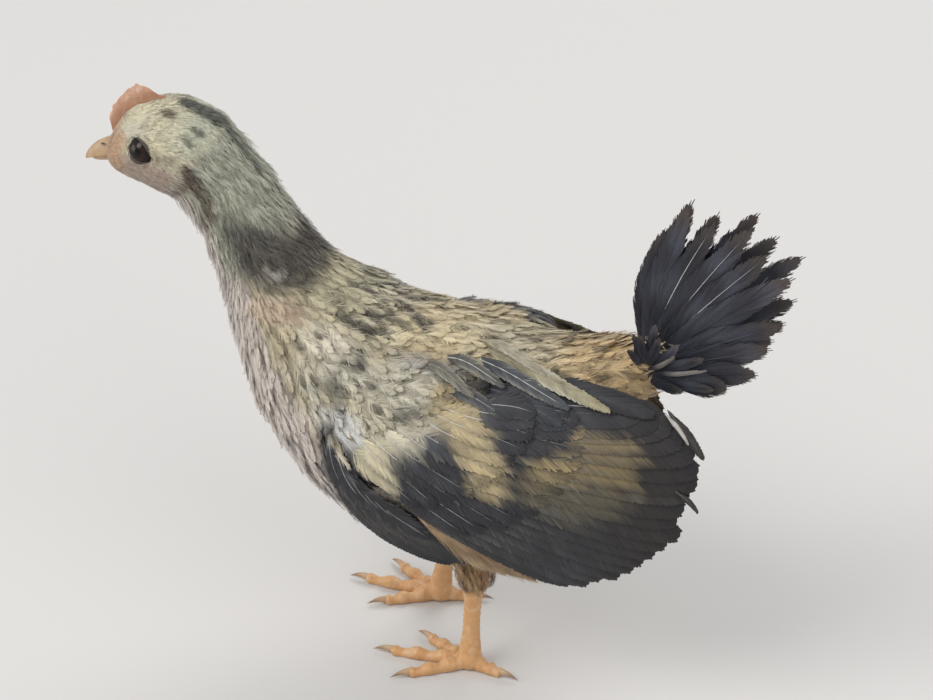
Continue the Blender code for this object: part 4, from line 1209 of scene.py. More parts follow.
PLUME_LINES = (((21.0, 46.0), (-5.5, 57.5)), ((34.0, 36.4), (25.0, 34.6), (12.0, 38.0)))
LACE = (  # slate and cream tertials: root, tip, half-width, lift, colour, its rim, how bright its shaft is
    ((20.0, 93.0), (54.5, 88.0), 3.1, -0.4, "28282B", "252427", 0.1),
    ((8.0, 91.5), (33.5, 84.7), 3.2, 0.0, "2F3136", "3F3F40", 0.2),
    ((5.0, 95.5), (34.6, 88.0), 2.1, 0.4, "3D4044", "7F7C72", 0.95),
    ((7.0, 96.8), (44.5, 88.6), 2.2, 0.8, "8F8669", "A9A492", 0.2),
    ((6.0, 97.2), (27.5, 93.4), 1.5, 1.0, "8A826C", "A9A492", 0.2),
    ((-2.0, 94.5), (18.0, 90.5), 1.8, 0.7, "4A4944", "8F8A7B", 0.9),
    ((-6.0, 93.5), (11.4, 87.9), 1.7, 0.9, "5F5B50", "9A9484", 0.3),
    ((0.0, 90.0), (19.0, 85.2), 2.0, 0.5, "3C3D40", "6F6C64", 0.5),
    ((57.0, 89.4), (66.9, 78.6), 1.4, 0.0, "35302D", "2B2826", 0.1),
    ((56.7, 88.8), (63.2, 82.4), 0.55, 0.5, "B0ABA1", "6F6A64", 0.3),
    ((60.5, 69.3), (66.0, 63.2), 0.8, 0.0, "3A332E", "2E2926", 0.1),
)
STRAY_FEATHERS = 3  # the last ones of LACE, at the rear of the left wing alone
LACE_MOVED = {"left": (0.0, 0.0), "right": (-10.0, -13.5)}
STATIONS = 6


def path_point(corners, t):
    """The point at a share of the way along a smooth path through the corners."""
    path = smooth_rows(corners, 8)
    far = np.append(0, np.cumsum(np.linalg.norm(np.diff(path, axis=0), axis=1)))
    return np.array([np.interp(t * far[-1], far, path[:, k]) for k in (0, 1)])


def one_feather(line, sideways, half_width, camber, flat, length=None):
    """What a feather is known by: its line and sideways directions at even stations, sizes and map place."""
    return {
        "line": line,
        "sideways": sideways,
        "length": length or np.linalg.norm(np.diff(line, axis=0), axis=1).sum(),
        "half": half_width,
        "camber": camber,
        "map": flat,
    }


def gathered(feathers):
    """Single feathers as one set of arrays."""
    return {key: np.array([feather[key] for feather in feathers]) for key in feathers[0]}


# %% One feather, and one tier of them
def bowed(root, tip, bend, offset=0.0):
    """A line in side view from root to tip, bowed by bend in the middle and moved sideways by offset."""
    share = np.linspace(0, 1, STATIONS)
    ahead = unit(tip - root)
    across = np.array((ahead[1], -ahead[0]))
    return root + (tip - root) * share[:, None] + across * (bend * np.sin(math.pi * share) + offset)[:, None]


def wing_feather(side, root, tip, half_width, bend, lift, clear, shingle, sunk, dive=0.0, buried=0.35):
    """One feather laid on the wing: lift from its shell, least room from the flank, and tilt, then how far in
    and how far down its root lies, and the share of it that slopes up from there."""
    under = np.maximum(0, 1 - np.linspace(0, 1, STATIONS) / buried) ** 1.3

    def surface(offset):
        flat = bowed(root, tip, bend, offset)
        y = wing_layer(flat[:, 0], flat[:, 1], lift, clear) - sunk * under + shingle * offset
        return np.stack([flat[:, 0], side * y, flat[:, 1] - dive * under], axis=1)

    sideways = unit(surface(0.5 * half_width) - surface(-0.5 * half_width)) * side
    return one_feather(surface(0.0), sideways, half_width, 0.25, wing_strip(root[0], root[1], side > 0))


def wing_tier(side, lines, count, reach, back, half_width, last_bend, layer, draw):
    """A tier of feathers: their root line and tip curve, how many, share of the way to the tips, how far the
    roots are moved back, half-width, how far the lowest is bent, and the layer they lie in."""
    first_bend = -0.8
    made = []
    for i in range(count):
        q = i / (count - 1)
        root = np.array(lines[0][0]) * (1 - q) + np.array(lines[0][1]) * q
        tip = path_point(lines[1], q)
        ahead = unit(tip - root)
        tip = root + (tip - root) * reach * (1 + draw.uniform(-0.02, 0.02))
        tip = tip + np.array((ahead[1], -ahead[0])) * draw.uniform(-0.4, 0.4)
        bend = first_bend + (last_bend - first_bend) * q**1.5 + draw.uniform(-0.3, 0.3)
        wide = half_width * (1 - 0.25 * q**3) * (1 + draw.uniform(-0.05, 0.05))
        made.append(wing_feather(side, root + ahead * back, tip, wide, bend, *layer))
    return gathered(made)


# %% Styles, tiers and colours of the wing
FLIGHT_STYLE = {
    "bare": 0.03, "angle": 34, "blunt": 7.0, "neck": 0.2, "untidy": 0.012, "frayed": 0.015, "split": 0.01,
    "clump": 9, "overlap": 2.1, "finest": 0.03, "taper": 0.45, "loose": 0.035, "sweep": 0.2, "thick": 0.06,
}
COVERT_STYLE = {**FLIGHT_STYLE, "untidy": 0.07, "frayed": 0.14, "split": 0.08, "loose": 0.09, "blunt": 3.2}
PLUME_STYLE = {**DOWN_STYLE, "angle": 16, "overlap": 1.5, "loose": 0.3, "untidy": 0.25, "blunt": 2.8}
WING_TIERS = {  # name: (bone, (count, reach, moved back, half-width, last bend, layer), barbs a side, style)
    "secondaries": ("arm", (19, 1.00, 3.0, 5.6, -0.8, (-1.5, 2.8, 0.2, 1.3)), 88, FLIGHT_STYLE),
    "greater_coverts": ("arm", (13, 0.57, 1.0, 4.5, -0.8, (-0.5, 3.8, 0.2, 2.0)), 58, COVERT_STYLE),
    "median_coverts": ("arm", (11, 0.36, -3.0, 3.9, -0.8, (0.4, 4.7, 0.2, 3.4)), 44, COVERT_STYLE),
    "primaries": ("hand", (9, 1.00, 0.0, 3.1, 7.0, (-4.6, 2.0, 0.3, 1.3)), 64, FLIGHT_STYLE),
    "primary_coverts": ("hand", (7, 0.52, -2.0, 2.7, 3.5, (-3.5, 3.2, 0.3, 2.4)), 36, COVERT_STYLE),
}
PLUME_TIER = (17, 1.0, 0.0, 3.1, -0.8, (-3.1, 2.4, 0.0, 2.2))


def paint_flight(feathers, draw, shaft_light):
    """Each feather's patches are a little out of line with its neighbour's, and ragged from barb to barb."""
    number = len(feathers["half"])
    shade = 1 + 0.10 * draw.normal(size=number)
    moved = draw.normal(size=(number, 3)) * (0.8, 0, 0.8)
    bright = shaft_light * draw.uniform(0.5, 1.0, number)

    def paint(at):
        share, across = at["share"], np.abs(at["across"])
        ragged = at["grain"][:, None] * (0.4, 0, -0.2)
        tint = wing_colours(at["points"] + moved[at["which"]] + ragged) * shade[at["which"]][:, None]
        tint = over(tint, "15161A", 0.5 * hump(across, 0.05, 0.2, 0.08) * ramp(share, 0.1, 0.3))
        # A dark line along each feather's rim: painted shadow cast by the edge of the feather that lies over
        # it.
        tint = over(tint, "332F2A", 0.45 * ramp(across, 0.80, 0.97))
        tint = over(tint, "7E7A70", 0.25 * ramp(across, 0.95, 1.0) * ramp(share, 0.2, 0.5))
        return over(tint, "C9C8C4", at["shaft"] * ramp(share, 1.0, 0.75) * bright[at["which"]])

    return paint


# %% Flight feathers and coverts
def build_wing(side_name):
    """The tiers of one wing, each of them a piece."""
    side = SIDES[side_name]
    for index, (tier_name, (bone, tier, count, style)) in enumerate(WING_TIERS.items()):
        draw = np.random.default_rng(100 + index * 2 + (side > 0))
        lines = ARM_LINES[side_name] if bone == "arm" else HAND_LINES
        feathers = wing_tier(side, lines, *tier, draw)
        parts = [vanes(feathers, style), barbs(feathers, count, VANE_STEPS, style, draw)]
        parts.append(shafts(feathers, 8, 0.18))
        paint = paint_flight(feathers, draw, 0.8 if bone == "arm" else 0.45)
        piece = feather_mesh(f"wing_{side_name}_{tier_name}", feathers, parts, paint, [VANE])
        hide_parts(f"wing_{side_name}_{bone}")


# %% Tertials
LACE_STYLE = {**COVERT_STYLE, "angle": 24, "blunt": 2.8, "frayed": 0.05, "untidy": 0.04, "split": 0.03}
LONG_LACE = 16  # in mm. The root of a longer one dips far into the coat of the back


def build_lace(side_name):
    """Tertials, each with its own colour, a rim of another and a shaft that is bright on the slate ones."""
    side = SIDES[side_name]
    lace = LACE if side_name == "left" else LACE[:-STRAY_FEATHERS]
    made = []
    for root, tip, half_width, lift, *_ in lace:
        root, tip = (np.array(point) + LACE_MOVED[side_name] for point in (root, tip))
        sunk, dive = (3.5, 5.5) if np.linalg.norm(tip - root) > LONG_LACE else (0.6, 0.0)
        made.append(wing_feather(side, root, tip, half_width, -0.6, lift, 2.0 + lift, 0.12, sunk, dive, 0.5))
    feathers = gathered(made)
    grounds = np.array([linear(feather[4]) for feather in lace])
    rims = np.array([linear(feather[5]) for feather in lace])
    bright = np.array([feather[6] for feather in lace])

    def paint(at):
        share, across, which = at["share"], np.abs(at["across"]), at["which"]
        patchy = 1 + 0.22 * clouds(at["points"], 3, 91)
        rim = (ramp(across + 0.12 * at["grain"], 0.45, 0.95) * ramp(share, 0.25, 0.5) * 0.8)[:, None]
        tint = grounds[which] * patchy[:, None] * (1 - rim) + rims[which] * rim
        return over(tint, "D6D4CC", at["shaft"] * ramp(share, 1.0, 0.8) * bright[which])

    draw = np.random.default_rng(118 + (side > 0))
    parts = [vanes(feathers, LACE_STYLE, 0.9), barbs(feathers, 52, VANE_STEPS, LACE_STYLE, draw)]
    parts.append(shafts(feathers, 8, 0.15))
    piece = feather_mesh(f"wing_{side_name}_tertials", feathers, parts, paint, [VANE])
    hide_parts(f"wing_{side_name}_arm")


# %% Flank plumes
def build_flank_plumes(side_name):
    """The soft tan plumes of the flank, which curl up over the wing's lower edge."""
    side = SIDES[side_name]
    draw = np.random.default_rng(120 + (side > 0))
    feathers = wing_tier(side, PLUME_LINES, *PLUME_TIER, draw)
    parts = [vanes(feathers, PLUME_STYLE, 0.7), barbs(feathers, 90, SOFT_STEPS, PLUME_STYLE, draw)]
    parts.append(shafts(feathers, 6, 0.08))

    def paint(at):
        tint = plain(at["points"], "A98C68")
        tint = over(tint, "C2A984", 0.8 * ramp(clouds(at["points"], 6, 33), 0, 0.9))
        return over(tint, "6B5340", 0.5 * ramp(clouds(at["points"], 3, 34), 0.4, 1.0))

    piece = feather_mesh(f"flank_plumes_{side_name}", feathers, parts, paint, [DOWN])


for side_name in SIDES:
    build_wing(side_name)
    build_lace(side_name)
    build_flank_plumes(side_name)
print("with the wings:", sum(COAT_TRIANGLES.values()), "triangles")

# %% [markdown]
# ## Tail
# The tail of a young serama stands up like a fan held edge on: two halves, back to back, each with its
# feathers layered outwards. At this age the tips are ragged, because the barbs there have not hooked
# together or have broken, so their length varies more and more towards the tip.
# %% Tail feathers and their coverts
TAIL_TIPS = (  # from the steepest down, in x and z
    (50.3, 127.0), (56.6, 135.2), (62.8, 132.8), (71.5, 133.8), (76.8, 127.8),
    (82.8, 123.6), (80.5, 111.0), (78.3, 103.8), (75.5, 97.5), (69.0, 92.5),
)
TAIL_ROOT = (46.8, 91.5)
TAIL_LAYER = 0.82  # from one feather to the next, sideways
TAIL_HALF_WIDTH = 3.7
BRIGHT_SHAFTS = (0.9, 0.8, 0.7)  # of the third, fourth and fifth feather
TAIL_COVERTS = 11
COVERT_REACH = {0: 8.5, 1: 12, 6: 13, 8: 18.5}  # lengths of those that stand out from the rest
PALE_COVERTS = (6, 8)
TAIL_STYLE = {
    **FLIGHT_STYLE, "angle": 20, "blunt": 2.0, "untidy": 0.03, "frayed": 0.26,
    "split": 0.05, "clump": 5, "loose": 0.03,
}


def tail_row(side, tips, layers, bends, half_widths, sunk, draw):
    """One row of the fan, each feather in its own layer off the middle plane, its root sunk towards it."""
    share = np.linspace(0, 1, STATIONS)
    root = np.array(TAIL_ROOT)
    made = []
    for i, (tip, layer, bend) in enumerate(zip(tips, layers, bends)):
        flat = bowed(root, np.array(tip) + draw.uniform(-0.5, 0.5, 2), bend)
        y = layer * (0.74 + 0.26 * share) - sunk * np.maximum(0, 1 - share / 0.42)
        line = np.stack([flat[:, 0], side * y, flat[:, 1]], axis=1)
        tangent = unit(np.gradient(flat, axis=0))
        sideways = np.stack([tangent[:, 1], 0 * share, -tangent[:, 0]], axis=1) * side
        half_width = half_widths[i] * (1 + 0.45 * i / len(tips)) * (1 + draw.uniform(-0.06, 0.06))
        map_place = (0.05 + 0.006 * i, 0.30 + 0.06 * (side > 0))
        made.append(one_feather(line, sideways, half_width, 0.5, map_place))
    return gathered(made)


def paint_tail(feathers, pale, draw):
    """Slate with brown tips. pale says how far each feather is faded to grey."""
    shade = 1 + 0.10 * draw.normal(size=len(feathers["half"]))
    bright = 0.3 * draw.uniform(0.0, 1.0, len(feathers["half"])) ** 3
    bright[2:5] = BRIGHT_SHAFTS
    bright = bright * (feathers["length"] > 20)  # not on the coverts

    def paint(at):
        share, across = at["share"], np.abs(at["across"])
        tint = plain(at["points"], "26272F")
        tint = over(tint, "454854", 0.6 * ramp(clouds(at["points"], 9, 31), -0.2, 0.9))
        tint = over(tint, "8B867E", pale[at["which"]] * ramp(share, 0.3, 0.6))
        tint = over(tint, "55493F", 0.7 * ramp(share + 0.1 * across, 0.80, 1.05))
        tint = over(tint, "4A3F36", 0.8 * ramp(share, 0.2, 0.05))
        tint = tint * shade[at["which"]][:, None]
        return over(tint, "B9B8B8", at["shaft"] * hump(share, 0.48, 0.82, 0.15) * bright[at["which"]])

    return paint


# %% Both halves of the tail
def build_tail(side_name):
    """The long feathers of one half, and the coverts over their roots."""
    side = SIDES[side_name]
    draw = np.random.default_rng(140 + (side > 0))
    count = len(TAIL_TIPS)
    layers = [0.9 + TAIL_LAYER * i for i in range(count)]
    bends = [-1.9 + 0.3 * i for i in range(count)]
    feathers = tail_row(side, TAIL_TIPS, layers, bends, [TAIL_HALF_WIDTH] * count, 0.0, draw)
    parts = [vanes(feathers, TAIL_STYLE, 0.8), barbs(feathers, 112, VANE_STEPS, TAIL_STYLE, draw)]
    parts.append(shafts(feathers, 8, 0.2))
    paint = paint_tail(feathers, np.zeros(count), draw)
    piece = feather_mesh(f"tail_feathers_{side_name}", feathers, parts, paint, [VANE])
    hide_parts("tail")
    order = np.arange(TAIL_COVERTS)
    angles = np.radians(np.linspace(106, -8, TAIL_COVERTS) + draw.uniform(-4, 4, TAIL_COVERTS))
    reach = np.where(order % 2, 17, 13) * (1 + draw.uniform(-0.15, 0.15, TAIL_COVERTS))
    reach[list(COVERT_REACH)] = list(COVERT_REACH.values())
    pale = np.isin(order, PALE_COVERTS) * 0.75
    half_widths = np.where(pale > 0, 0.55, 1.5)
    tips = [(TAIL_ROOT[0] + r * math.cos(a), TAIL_ROOT[1] + r * math.sin(a)) for r, a in zip(reach, angles)]
    layers = [layers[-1] + 0.3 + 0.6 * ((i + 1) % 2) for i in order]
    feathers = tail_row(side, tips, layers, [0.8] * TAIL_COVERTS, half_widths, 2.6, draw)
    parts = [barbs(feathers, 34, VANE_STEPS, TAIL_STYLE, draw), shafts(feathers, 6, 0.16)]
    paint = paint_tail(feathers, pale, draw)
    piece = feather_mesh(f"tail_coverts_{side_name}", feathers, parts, paint, [VANE])


for side_name in SIDES:
    build_tail(side_name)
print("with the tail:", sum(COAT_TRIANGLES.values()), "triangles")

# %% [markdown]
# ## Eyes and lids
# A fowl's eye is nearly all dark iris and pupil under a wet cornea, so it is a smooth ball with a clear
# coat, coloured by the angle from its axis. The lids are bare folds that ride on the ball: a ring of skin
# whose inner rim follows a slanted oval and whose outer rim sinks into the face all round, wherever the
# skin is there, which a ray cast finds.
# %% Eyes
def painted(name, shape, colours, finishes):
    """A bmesh in mm as a piece whose corners carry the Tint attribute that colours(points) gives."""
    bmesh.ops.recalc_face_normals(shape, faces=shape.faces[:])
    mesh = joined([shape])
    tinted(mesh, colours(points_of(mesh)[0]))
    return link(name, mesh, finishes)


def eye_finish():
    """A wet cornea over a dark iris: a smooth base under a clear coat."""
    sockets = {"Coat_Weight": 0.15, "Coat_Roughness": 0.03, "Specular_IOR_Level": 0.2}
    made, tree, shader = finish("eye_cornea", 0.2, **sockets)
    mottled(tree, shader, 0.35, 3.0, "B3A095")
    return made


EYE = eye_finish()


def build_eye(side_name):
    """A ball with a round pupil, a dark iris and the rest darker still."""
    centre, radius, axis = EYES[side_name]
    shape = bmesh.new()
    bmesh.ops.create_uvsphere(shape, u_segments=48, v_segments=32, radius=radius)
    bmesh.ops.translate(shape, vec=centre, verts=shape.verts[:])

    def colours(points):
        angle = np.degrees(np.arccos(np.clip(unit(points - centre) @ axis, -1, 1)))
        tint = plain(points, "22150C")
        tint = over(tint, "36210F", hump(angle, 27, 34, 5) * 0.7)
        tint = over(tint, "060403", ramp(angle, 25, 21))
        return over(tint, "120B07", ramp(angle, 40, 48))

    eye = painted(f"eyeball_{side_name}", shape, colours, [EYE])
    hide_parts(f"eye_{side_name}")


# %% Lids
OPENING = (3.35, 2.05)  # half-length and half-width of the gap between the lids, in mm
OPENING_MOVED = 0.5  # how far the gap lies up and back from the axis of the ball
SLANT = math.radians(-42)  # the gap runs from the upper front to the lower rear
LID_REACH = 4.1  # how far from the axis the lids end under the skin
LID_PROFILE = (  # share of the way from the rim to the outer end, height above the straight line there
    (0.00, 0.02), (0.02, 0.11), (0.10, 0.17), (0.22, 0.13), (0.32, 0.02), (0.42, 0.12), (0.58, 0.20),
    (0.76, 0.16), (0.90, 0.02), (1.00, -0.2), (1.00, -0.9), (0.50, -0.7), (0.00, -0.35),
)


def build_lids(side_name):
    """Both lids as one ring of skin round the gap."""
    centre, radius, axis = EYES[side_name]
    rear = unit(np.array((1.0, 0, 0)) - axis * axis[0])
    up = unit(np.cross(axis, rear))
    up = up if up[2] > 0 else -up
    profile = np.array(LID_PROFILE)
    count = len(profile)

    def skin_height(direction, reach):
        start = centre + direction * reach + axis * 12
        hit = SKIN_TREE.ray_cast(Vector(start), Vector(-axis))[0]
        return (np.array(hit) - centre) @ axis if hit else 1.0

    def place(share, turn):
        k = turn / (2 * math.pi) * count
        low = int(k) % count
        out, off = profile[low] + (profile[(low + 1) % count] - profile[low]) * (k - int(k))
        phi = share * 2 * math.pi
        along, across = OPENING[0] * math.cos(phi), OPENING[1] * math.sin(phi)
        across = across * (1 - 0.12 * math.cos(phi) ** 2) + OPENING_MOVED
        x = along * math.cos(SLANT) - across * math.sin(SLANT)
        z = along * math.sin(SLANT) + across * math.cos(SLANT)
        inner = math.hypot(x, z)
        direction = unit(rear * x + up * z)
        rim = math.sqrt(max(radius**2 - inner**2, 0.2)) + 0.03
        edge = skin_height(direction, LID_REACH)
        reach = inner + (LID_REACH - inner) * out
        wrinkle = 0.04 * math.sin(7 * phi + 1.1) * math.sin(math.pi * out)
        height = rim + (edge - rim) * out + off * (0.7 + 0.3 * abs(math.sin(phi))) + wrinkle
        return centre + direction * reach + axis * height

    def colours(points):
        from_axis = np.linalg.norm(about_axis(points, centre, axis)[1], axis=1)
        off_ball = np.linalg.norm(points - centre, axis=1) - radius
        # Darker towards the ball: painted shade in the socket's hollow. Further out the lid is dimmed to the
        # self-shaded tone of the coat.
        tint = coat_colours(points, body_map(points)) * (0.55 + 0.35 * ramp(off_ball, 0.2, 1.4))[:, None]
        # A darker band in the lids' crease: painted shade in the fold.
        tint = over(tint, "7E6856", hump(from_axis, 2.6, 3.1, 0.3) * 0.35)
        # Dark at the inner rim: the lid's own dark edge, widened into painted shade over the ledge next to
        # the ball, where light falls.
        return over(tint, "2E2118", ramp(off_ball, 0.50, 0.15) * 0.9)

    ring = wrapped_grid(80, count * 4, place, 1e-3)
    lids = painted(f"lids_{side_name}", ring, colours, [SKIN])
    return lids


# %% Feathers of the lids
LID_ROOTS = (0.22, 4.3)  # least height over the ball, and greatest distance from the axis, of their roots
LID_SPACING = 0.38


def build_lid_feathers(side_name, lids):
    """Tiny feathers that start close round the rim of the lids and run out into those of the face."""
    centre, radius, axis = EYES[side_name]
    draw = np.random.default_rng(90 + (SIDES[side_name] > 0))
    lid_points, lid_normals = points_of(lids.data)
    lid_faces = [[v + len(skin_points) for v in face.vertices] for face in lids.data.polygons]
    corners = [Vector(p) for p in np.concatenate([skin_points, lid_points])]
    tree = BVHTree.FromPolygons(corners, triangles.tolist() + lid_faces)
    _, square = about_axis(lid_points, centre, axis)
    off_ball = np.linalg.norm(lid_points - centre, axis=1) - radius
    outer = (off_ball > LID_ROOTS[0]) & (np.linalg.norm(square, axis=1) < LID_ROOTS[1])
    outer &= lid_normals @ axis > 0.2
    kept = []
    for i in draw.permutation(np.flatnonzero(outer)):
        if all(np.linalg.norm(lid_points[i] - lid_points[j]) > LID_SPACING for j in kept):
            kept.append(i)
    points = lid_points[kept]
    around = body_map(points)
    zone = np.full(len(points), ZONE_INDEX["cheek"])
    way = 0.8 * coat_lie(points, zone, around) + 0.7 * unit(square[kept])
    way = unit(way + 0.12 * draw.normal(size=points.shape))
    length = 1.4 * (1 + 0.15 * draw.normal(size=len(points)))
    half = np.full(len(points), 0.24)
    lift = 0.14 * (1 + 0.3 * draw.normal(size=len(points)))
    feathers = draped(points, way, length, half, lift, 0.12, skin_map_of(points, zone, around), tree)
    feathers["around"] = around
    parts = [shafts(feathers, 2, 0.05), barbs(feathers, 5, SOFT_STEPS, HAIR_STYLE, draw)]
    paint = paint_small(feathers, zone, draw)
    piece = feather_mesh(f"lid_feathers_{side_name}", feathers, parts, paint, [DOWN])


for side_name in SIDES:
    build_eye(side_name)
    build_lid_feathers(side_name, build_lids(side_name))

# %% [markdown]
# ## Beak
# The beak is two horny sheaths. The upper one has a rounded keel and a short downward tip that hangs over
# the lower one, and a slit of a nostril under a soft flap on each side. Each is a grid wrapped round its own
# line, pressed in where the nostril lies.
# %% Horn, and the sizes of the beak
BEAK_TIP = (-97.2, 123.4)
BEAK_DEPTH, BEAK_WIDTH = 7.3, 6.6
BEAK_BASE_X = -84.0
MOUTH = ((BEAK_BASE_X, 126.1), (-89.8, 125.0), (BEAK_TIP[0] + 0.7, BEAK_TIP[1] - 0.9))
NOSTRIL = (-91.0, 127.4)


def horn_finish():
    """Keratin sheath: smooth, faintly waxy, with a fine grain in its surface and a little light in its tip.
    """
    sockets = {"Subsurface_Weight": 0.2, "Subsurface_Scale": 0.0012, "Subsurface_Radius": (1.0, 0.6, 0.35)}
    made, tree, shader = finish("beak_keratin", 0.38, **sockets)
    mottled(tree, shader, 1.2, 4.0, "DAC4AD", 0.3)
    raised(tree, shader, "ShaderNodeTexNoise", None, "Fac", 0.25, 0.25, 0.1, Detail=3.0)
    return made


HORN = horn_finish()


# %% Both halves of the beak
LOWER_REACH, LOWER_WIDTH = 0.86, 0.88  # of the lower half, as shares of the upper one


def beak_half(upper):
    """One sheath round the line of the mouth: its keel towards the outside, and nearly flat inside."""
    reach = 1.0 if upper else LOWER_REACH

    def place(share, turn):
        t = 1 - (1 - share) ** 1.25
        x, z = path_point(MOUTH, t * reach)
        fall = math.sqrt(max(0.0, 1 - t**6.0))
        around = math.sin(turn)
        if upper:
            width = BEAK_WIDTH / 2 * (1 - 0.5 * t) * max(fall, 0.02)
            rise = BEAK_DEPTH * (0.68 - 0.24 * t) * max(fall, 0.02)
            z -= 0.45 * max(0.0, t - 0.7) ** 1.5 / 0.3**1.5
            height = rise * around**0.92 if around > 0 else 0.25 * around * fall
            side = width * math.cos(turn) * (1 - 0.16 * max(around, 0))
            point = np.array((x, side, z + 0.12 + height))
            dent = math.exp(-(((x - NOSTRIL[0]) / 1.15) ** 2 + ((point[2] - NOSTRIL[1]) / 0.42) ** 2))
            flap = math.exp(-(((x - NOSTRIL[0]) / 1.5) ** 2 + ((point[2] - NOSTRIL[1] - 0.9) / 0.6) ** 2))
            point[1] *= 1 - 0.42 * dent + 0.14 * flap
            return point
        width = BEAK_WIDTH / 2 * LOWER_WIDTH * (1 - 0.45 * t) * max(fall, 0.02)
        rise = BEAK_DEPTH * (0.32 - 0.10 * t) * max(fall, 0.02)
        height = rise * around if around < 0 else 0.2 * around * fall
        return np.array((x, width * math.cos(turn), z - 0.14 + height))

    return wrapped_grid(56, 56, place)


def beak_colours(points):
    """Horn colour, browner at the base and at the tip, with painted shade in the nostril's dent."""
    x = points[:, 0]
    tint = plain(points, "A98D6A")
    tint = over(tint, "B49E7D", 0.5 * ramp(clouds(points, 3, 44), 0, 0.8))
    tint = over(tint, "A07E66", ramp(x, -91, -87) * 0.6)
    tint = over(tint, "7A5E48", ramp(x, -94.6, -97.2) * 0.5)
    # Painted shade in the nostril: its dent is darkened as if it were an open hole.
    nostril_shade = np.exp(-(((x - NOSTRIL[0]) / 1.0) ** 2 + ((points[:, 2] - NOSTRIL[1]) / 0.35) ** 2))
    return over(tint, "3A241A", np.clip(nostril_shade * 1.6 - 0.35, 0, 1))


for name, upper in (("upper", True), ("lower", False)):
    piece = painted(f"bill_{name}", beak_half(upper), beak_colours, [HORN])
    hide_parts(f"beak_{name}")

# %% [markdown]
# ## Comb
# At this age a single comb is a low blade of pink skin with a row of small uneven points. It is one
# grid wrapped round the blade, thick at its base and thin at its points, with fine grains in its finish.
# %% Comb
COMB_POINTS = (0.16, 0.27, 0.40, 0.54, 0.68, 0.82)  # where its points stand, as shares from rear to front
COMB_RISE = (  # share from rear to front, height in mm
    (0.0, 0.0), (0.07, 0.3), (0.13, 1.5), (0.17, 2.7), (0.22, 3.4), (0.27, 4.5), (0.33, 4.2),
    (0.40, 4.0), (0.56, 3.4), (0.78, 2.9), (0.90, 2.0), (0.96, 1.0), (1.0, 0.3),
)
COMB_THICKNESS = 2.8
COMB_SUNK = 1.6  # how far its base lies in the skin
COMB_LINE = PROFILE[(AT["crown"] * ROWS_PER_SECTION + 3) :, 0:2]


def comb_finish():
    """Bare comb: thin pink skin over blood, dull, with fine grains."""
    sockets = {"Subsurface_Weight": 0.2, "Subsurface_Scale": 0.001, "Subsurface_Radius": (1.0, 0.35, 0.22)}
    made, tree, shader = finish("comb_skin", 0.55, **sockets)
    mottled(tree, shader, 1.6, 3.0, "EDD7CB")
    raised(tree, shader, "ShaderNodeTexVoronoi", None, "Distance", 0.45, 0.6, 0.2, inward=True)
    return made


def comb_place(share, turn):
    """The blade, from rear to front along the crown and once round its section."""
    at = share * (len(COMB_LINE) - 1)
    low = min(int(at), len(COMB_LINE) - 2)
    base = COMB_LINE[low] + (COMB_LINE[low + 1] - COMB_LINE[low]) * (at - low)
    along = unit(COMB_LINE[low + 1] - COMB_LINE[low])
    out = np.array((along[1], -along[0]))
    points = sum(max(0.0, 1 - (abs(share - at_share) / 0.085) ** 2) for at_share in COMB_POINTS)
    rise = float(np.interp(share, *zip(*COMB_RISE)))
    body = rise / max(height for _, height in COMB_RISE)
    top = rise * (0.84 + 0.18 * min(points, 1.0))
    level = (1 - math.cos(turn)) / 2
    height = -COMB_SUNK + (top + COMB_SUNK) * level
    thick = COMB_THICKNESS / 2 * (1 - 0.8 * level**0.9) * max(0.3, body)
    side = math.copysign(abs(math.sin(turn)) ** 0.6, math.sin(turn)) * thick
    wave = 0.18 * math.sin(share * 17 + 1.3) * level
    lean = 0.12 * math.sin(share * 31) * level
    return np.array((base[0] + out[0] * height + lean * along[0], side + wave, base[1] + out[1] * height))


def comb_colours(points):
    """Pink, paler in patches and browner towards the skull."""
    nearest = np.linalg.norm(points[:, None, [0, 2]] - COMB_LINE[None], axis=2).min(1)
    tint = plain(points, "BF9C83")
    tint = over(tint, "CEB29D", ramp(clouds(points, 2.2, 51), 0.0, 0.9))
    tint = over(tint, "AC8A70", ramp(clouds(points, 4, 52), 0.1, 1.0) * 0.5)
    return over(tint, "9C7354", ramp(nearest, 2.9, 1.1) * 0.75)


comb = painted("comb_blade", wrapped_grid(150, 28, comb_place), comb_colours, [comb_finish()])
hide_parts("comb")

# %% [markdown]
# ## Shanks and feet
# The shank carries a row of broad overlapping scutes down its front and small scales behind, the toes a
# scute for each step on top and soft pads below. Shank, ball of the foot and toes are grids with the scutes
# in their own surface, melted together by a fine voxel remesh so that no seam shows where the toes part.
# %% Sizes of the legs
ANKLE_X = {"left": 6.8, "right": -9.5}
ANKLE_Z = 4.0
SHANK_RADII = (3.0, 3.0, 2.4, 2.0, 1.9, 1.95, 2.1, 2.5, 2.8)  # from the hock down
SHANK_OVAL = (1.08, 0.92)  # how much wider it is fore and aft, and narrower across
TOES = {  # heading from straight ahead, outwards, in degrees; length without its claw
    "middle": (3.0, 20.0),
    "inner": (-29.0, 14.0),
    "outer": (34.0, 15.5),
    "hind": (168.0, 8.5),
}
TOE_RADIUS = 1.9
CLAW_LENGTH = 4.6
SCUTE, BACK_SCALE, TOE_SCUTE = 1.9, 1.1, 1.45  # lengths of a scute, of a scale behind, and of a toe's scute
LEAST_HEIGHT = 0.02  # what stands on the floor stays just above it
LEG_VOXEL = 0.26 * MM


# %% Shank, toes and the ball of the foot
def step_of(distance, pitch):
    """A saw-tooth from 0 to 1 along overlapping plates, with a rounded lip at each end."""
    share = (distance / pitch) % 1.0
    return share**1.5 if share < 0.86 else (1 - share) / 0.14


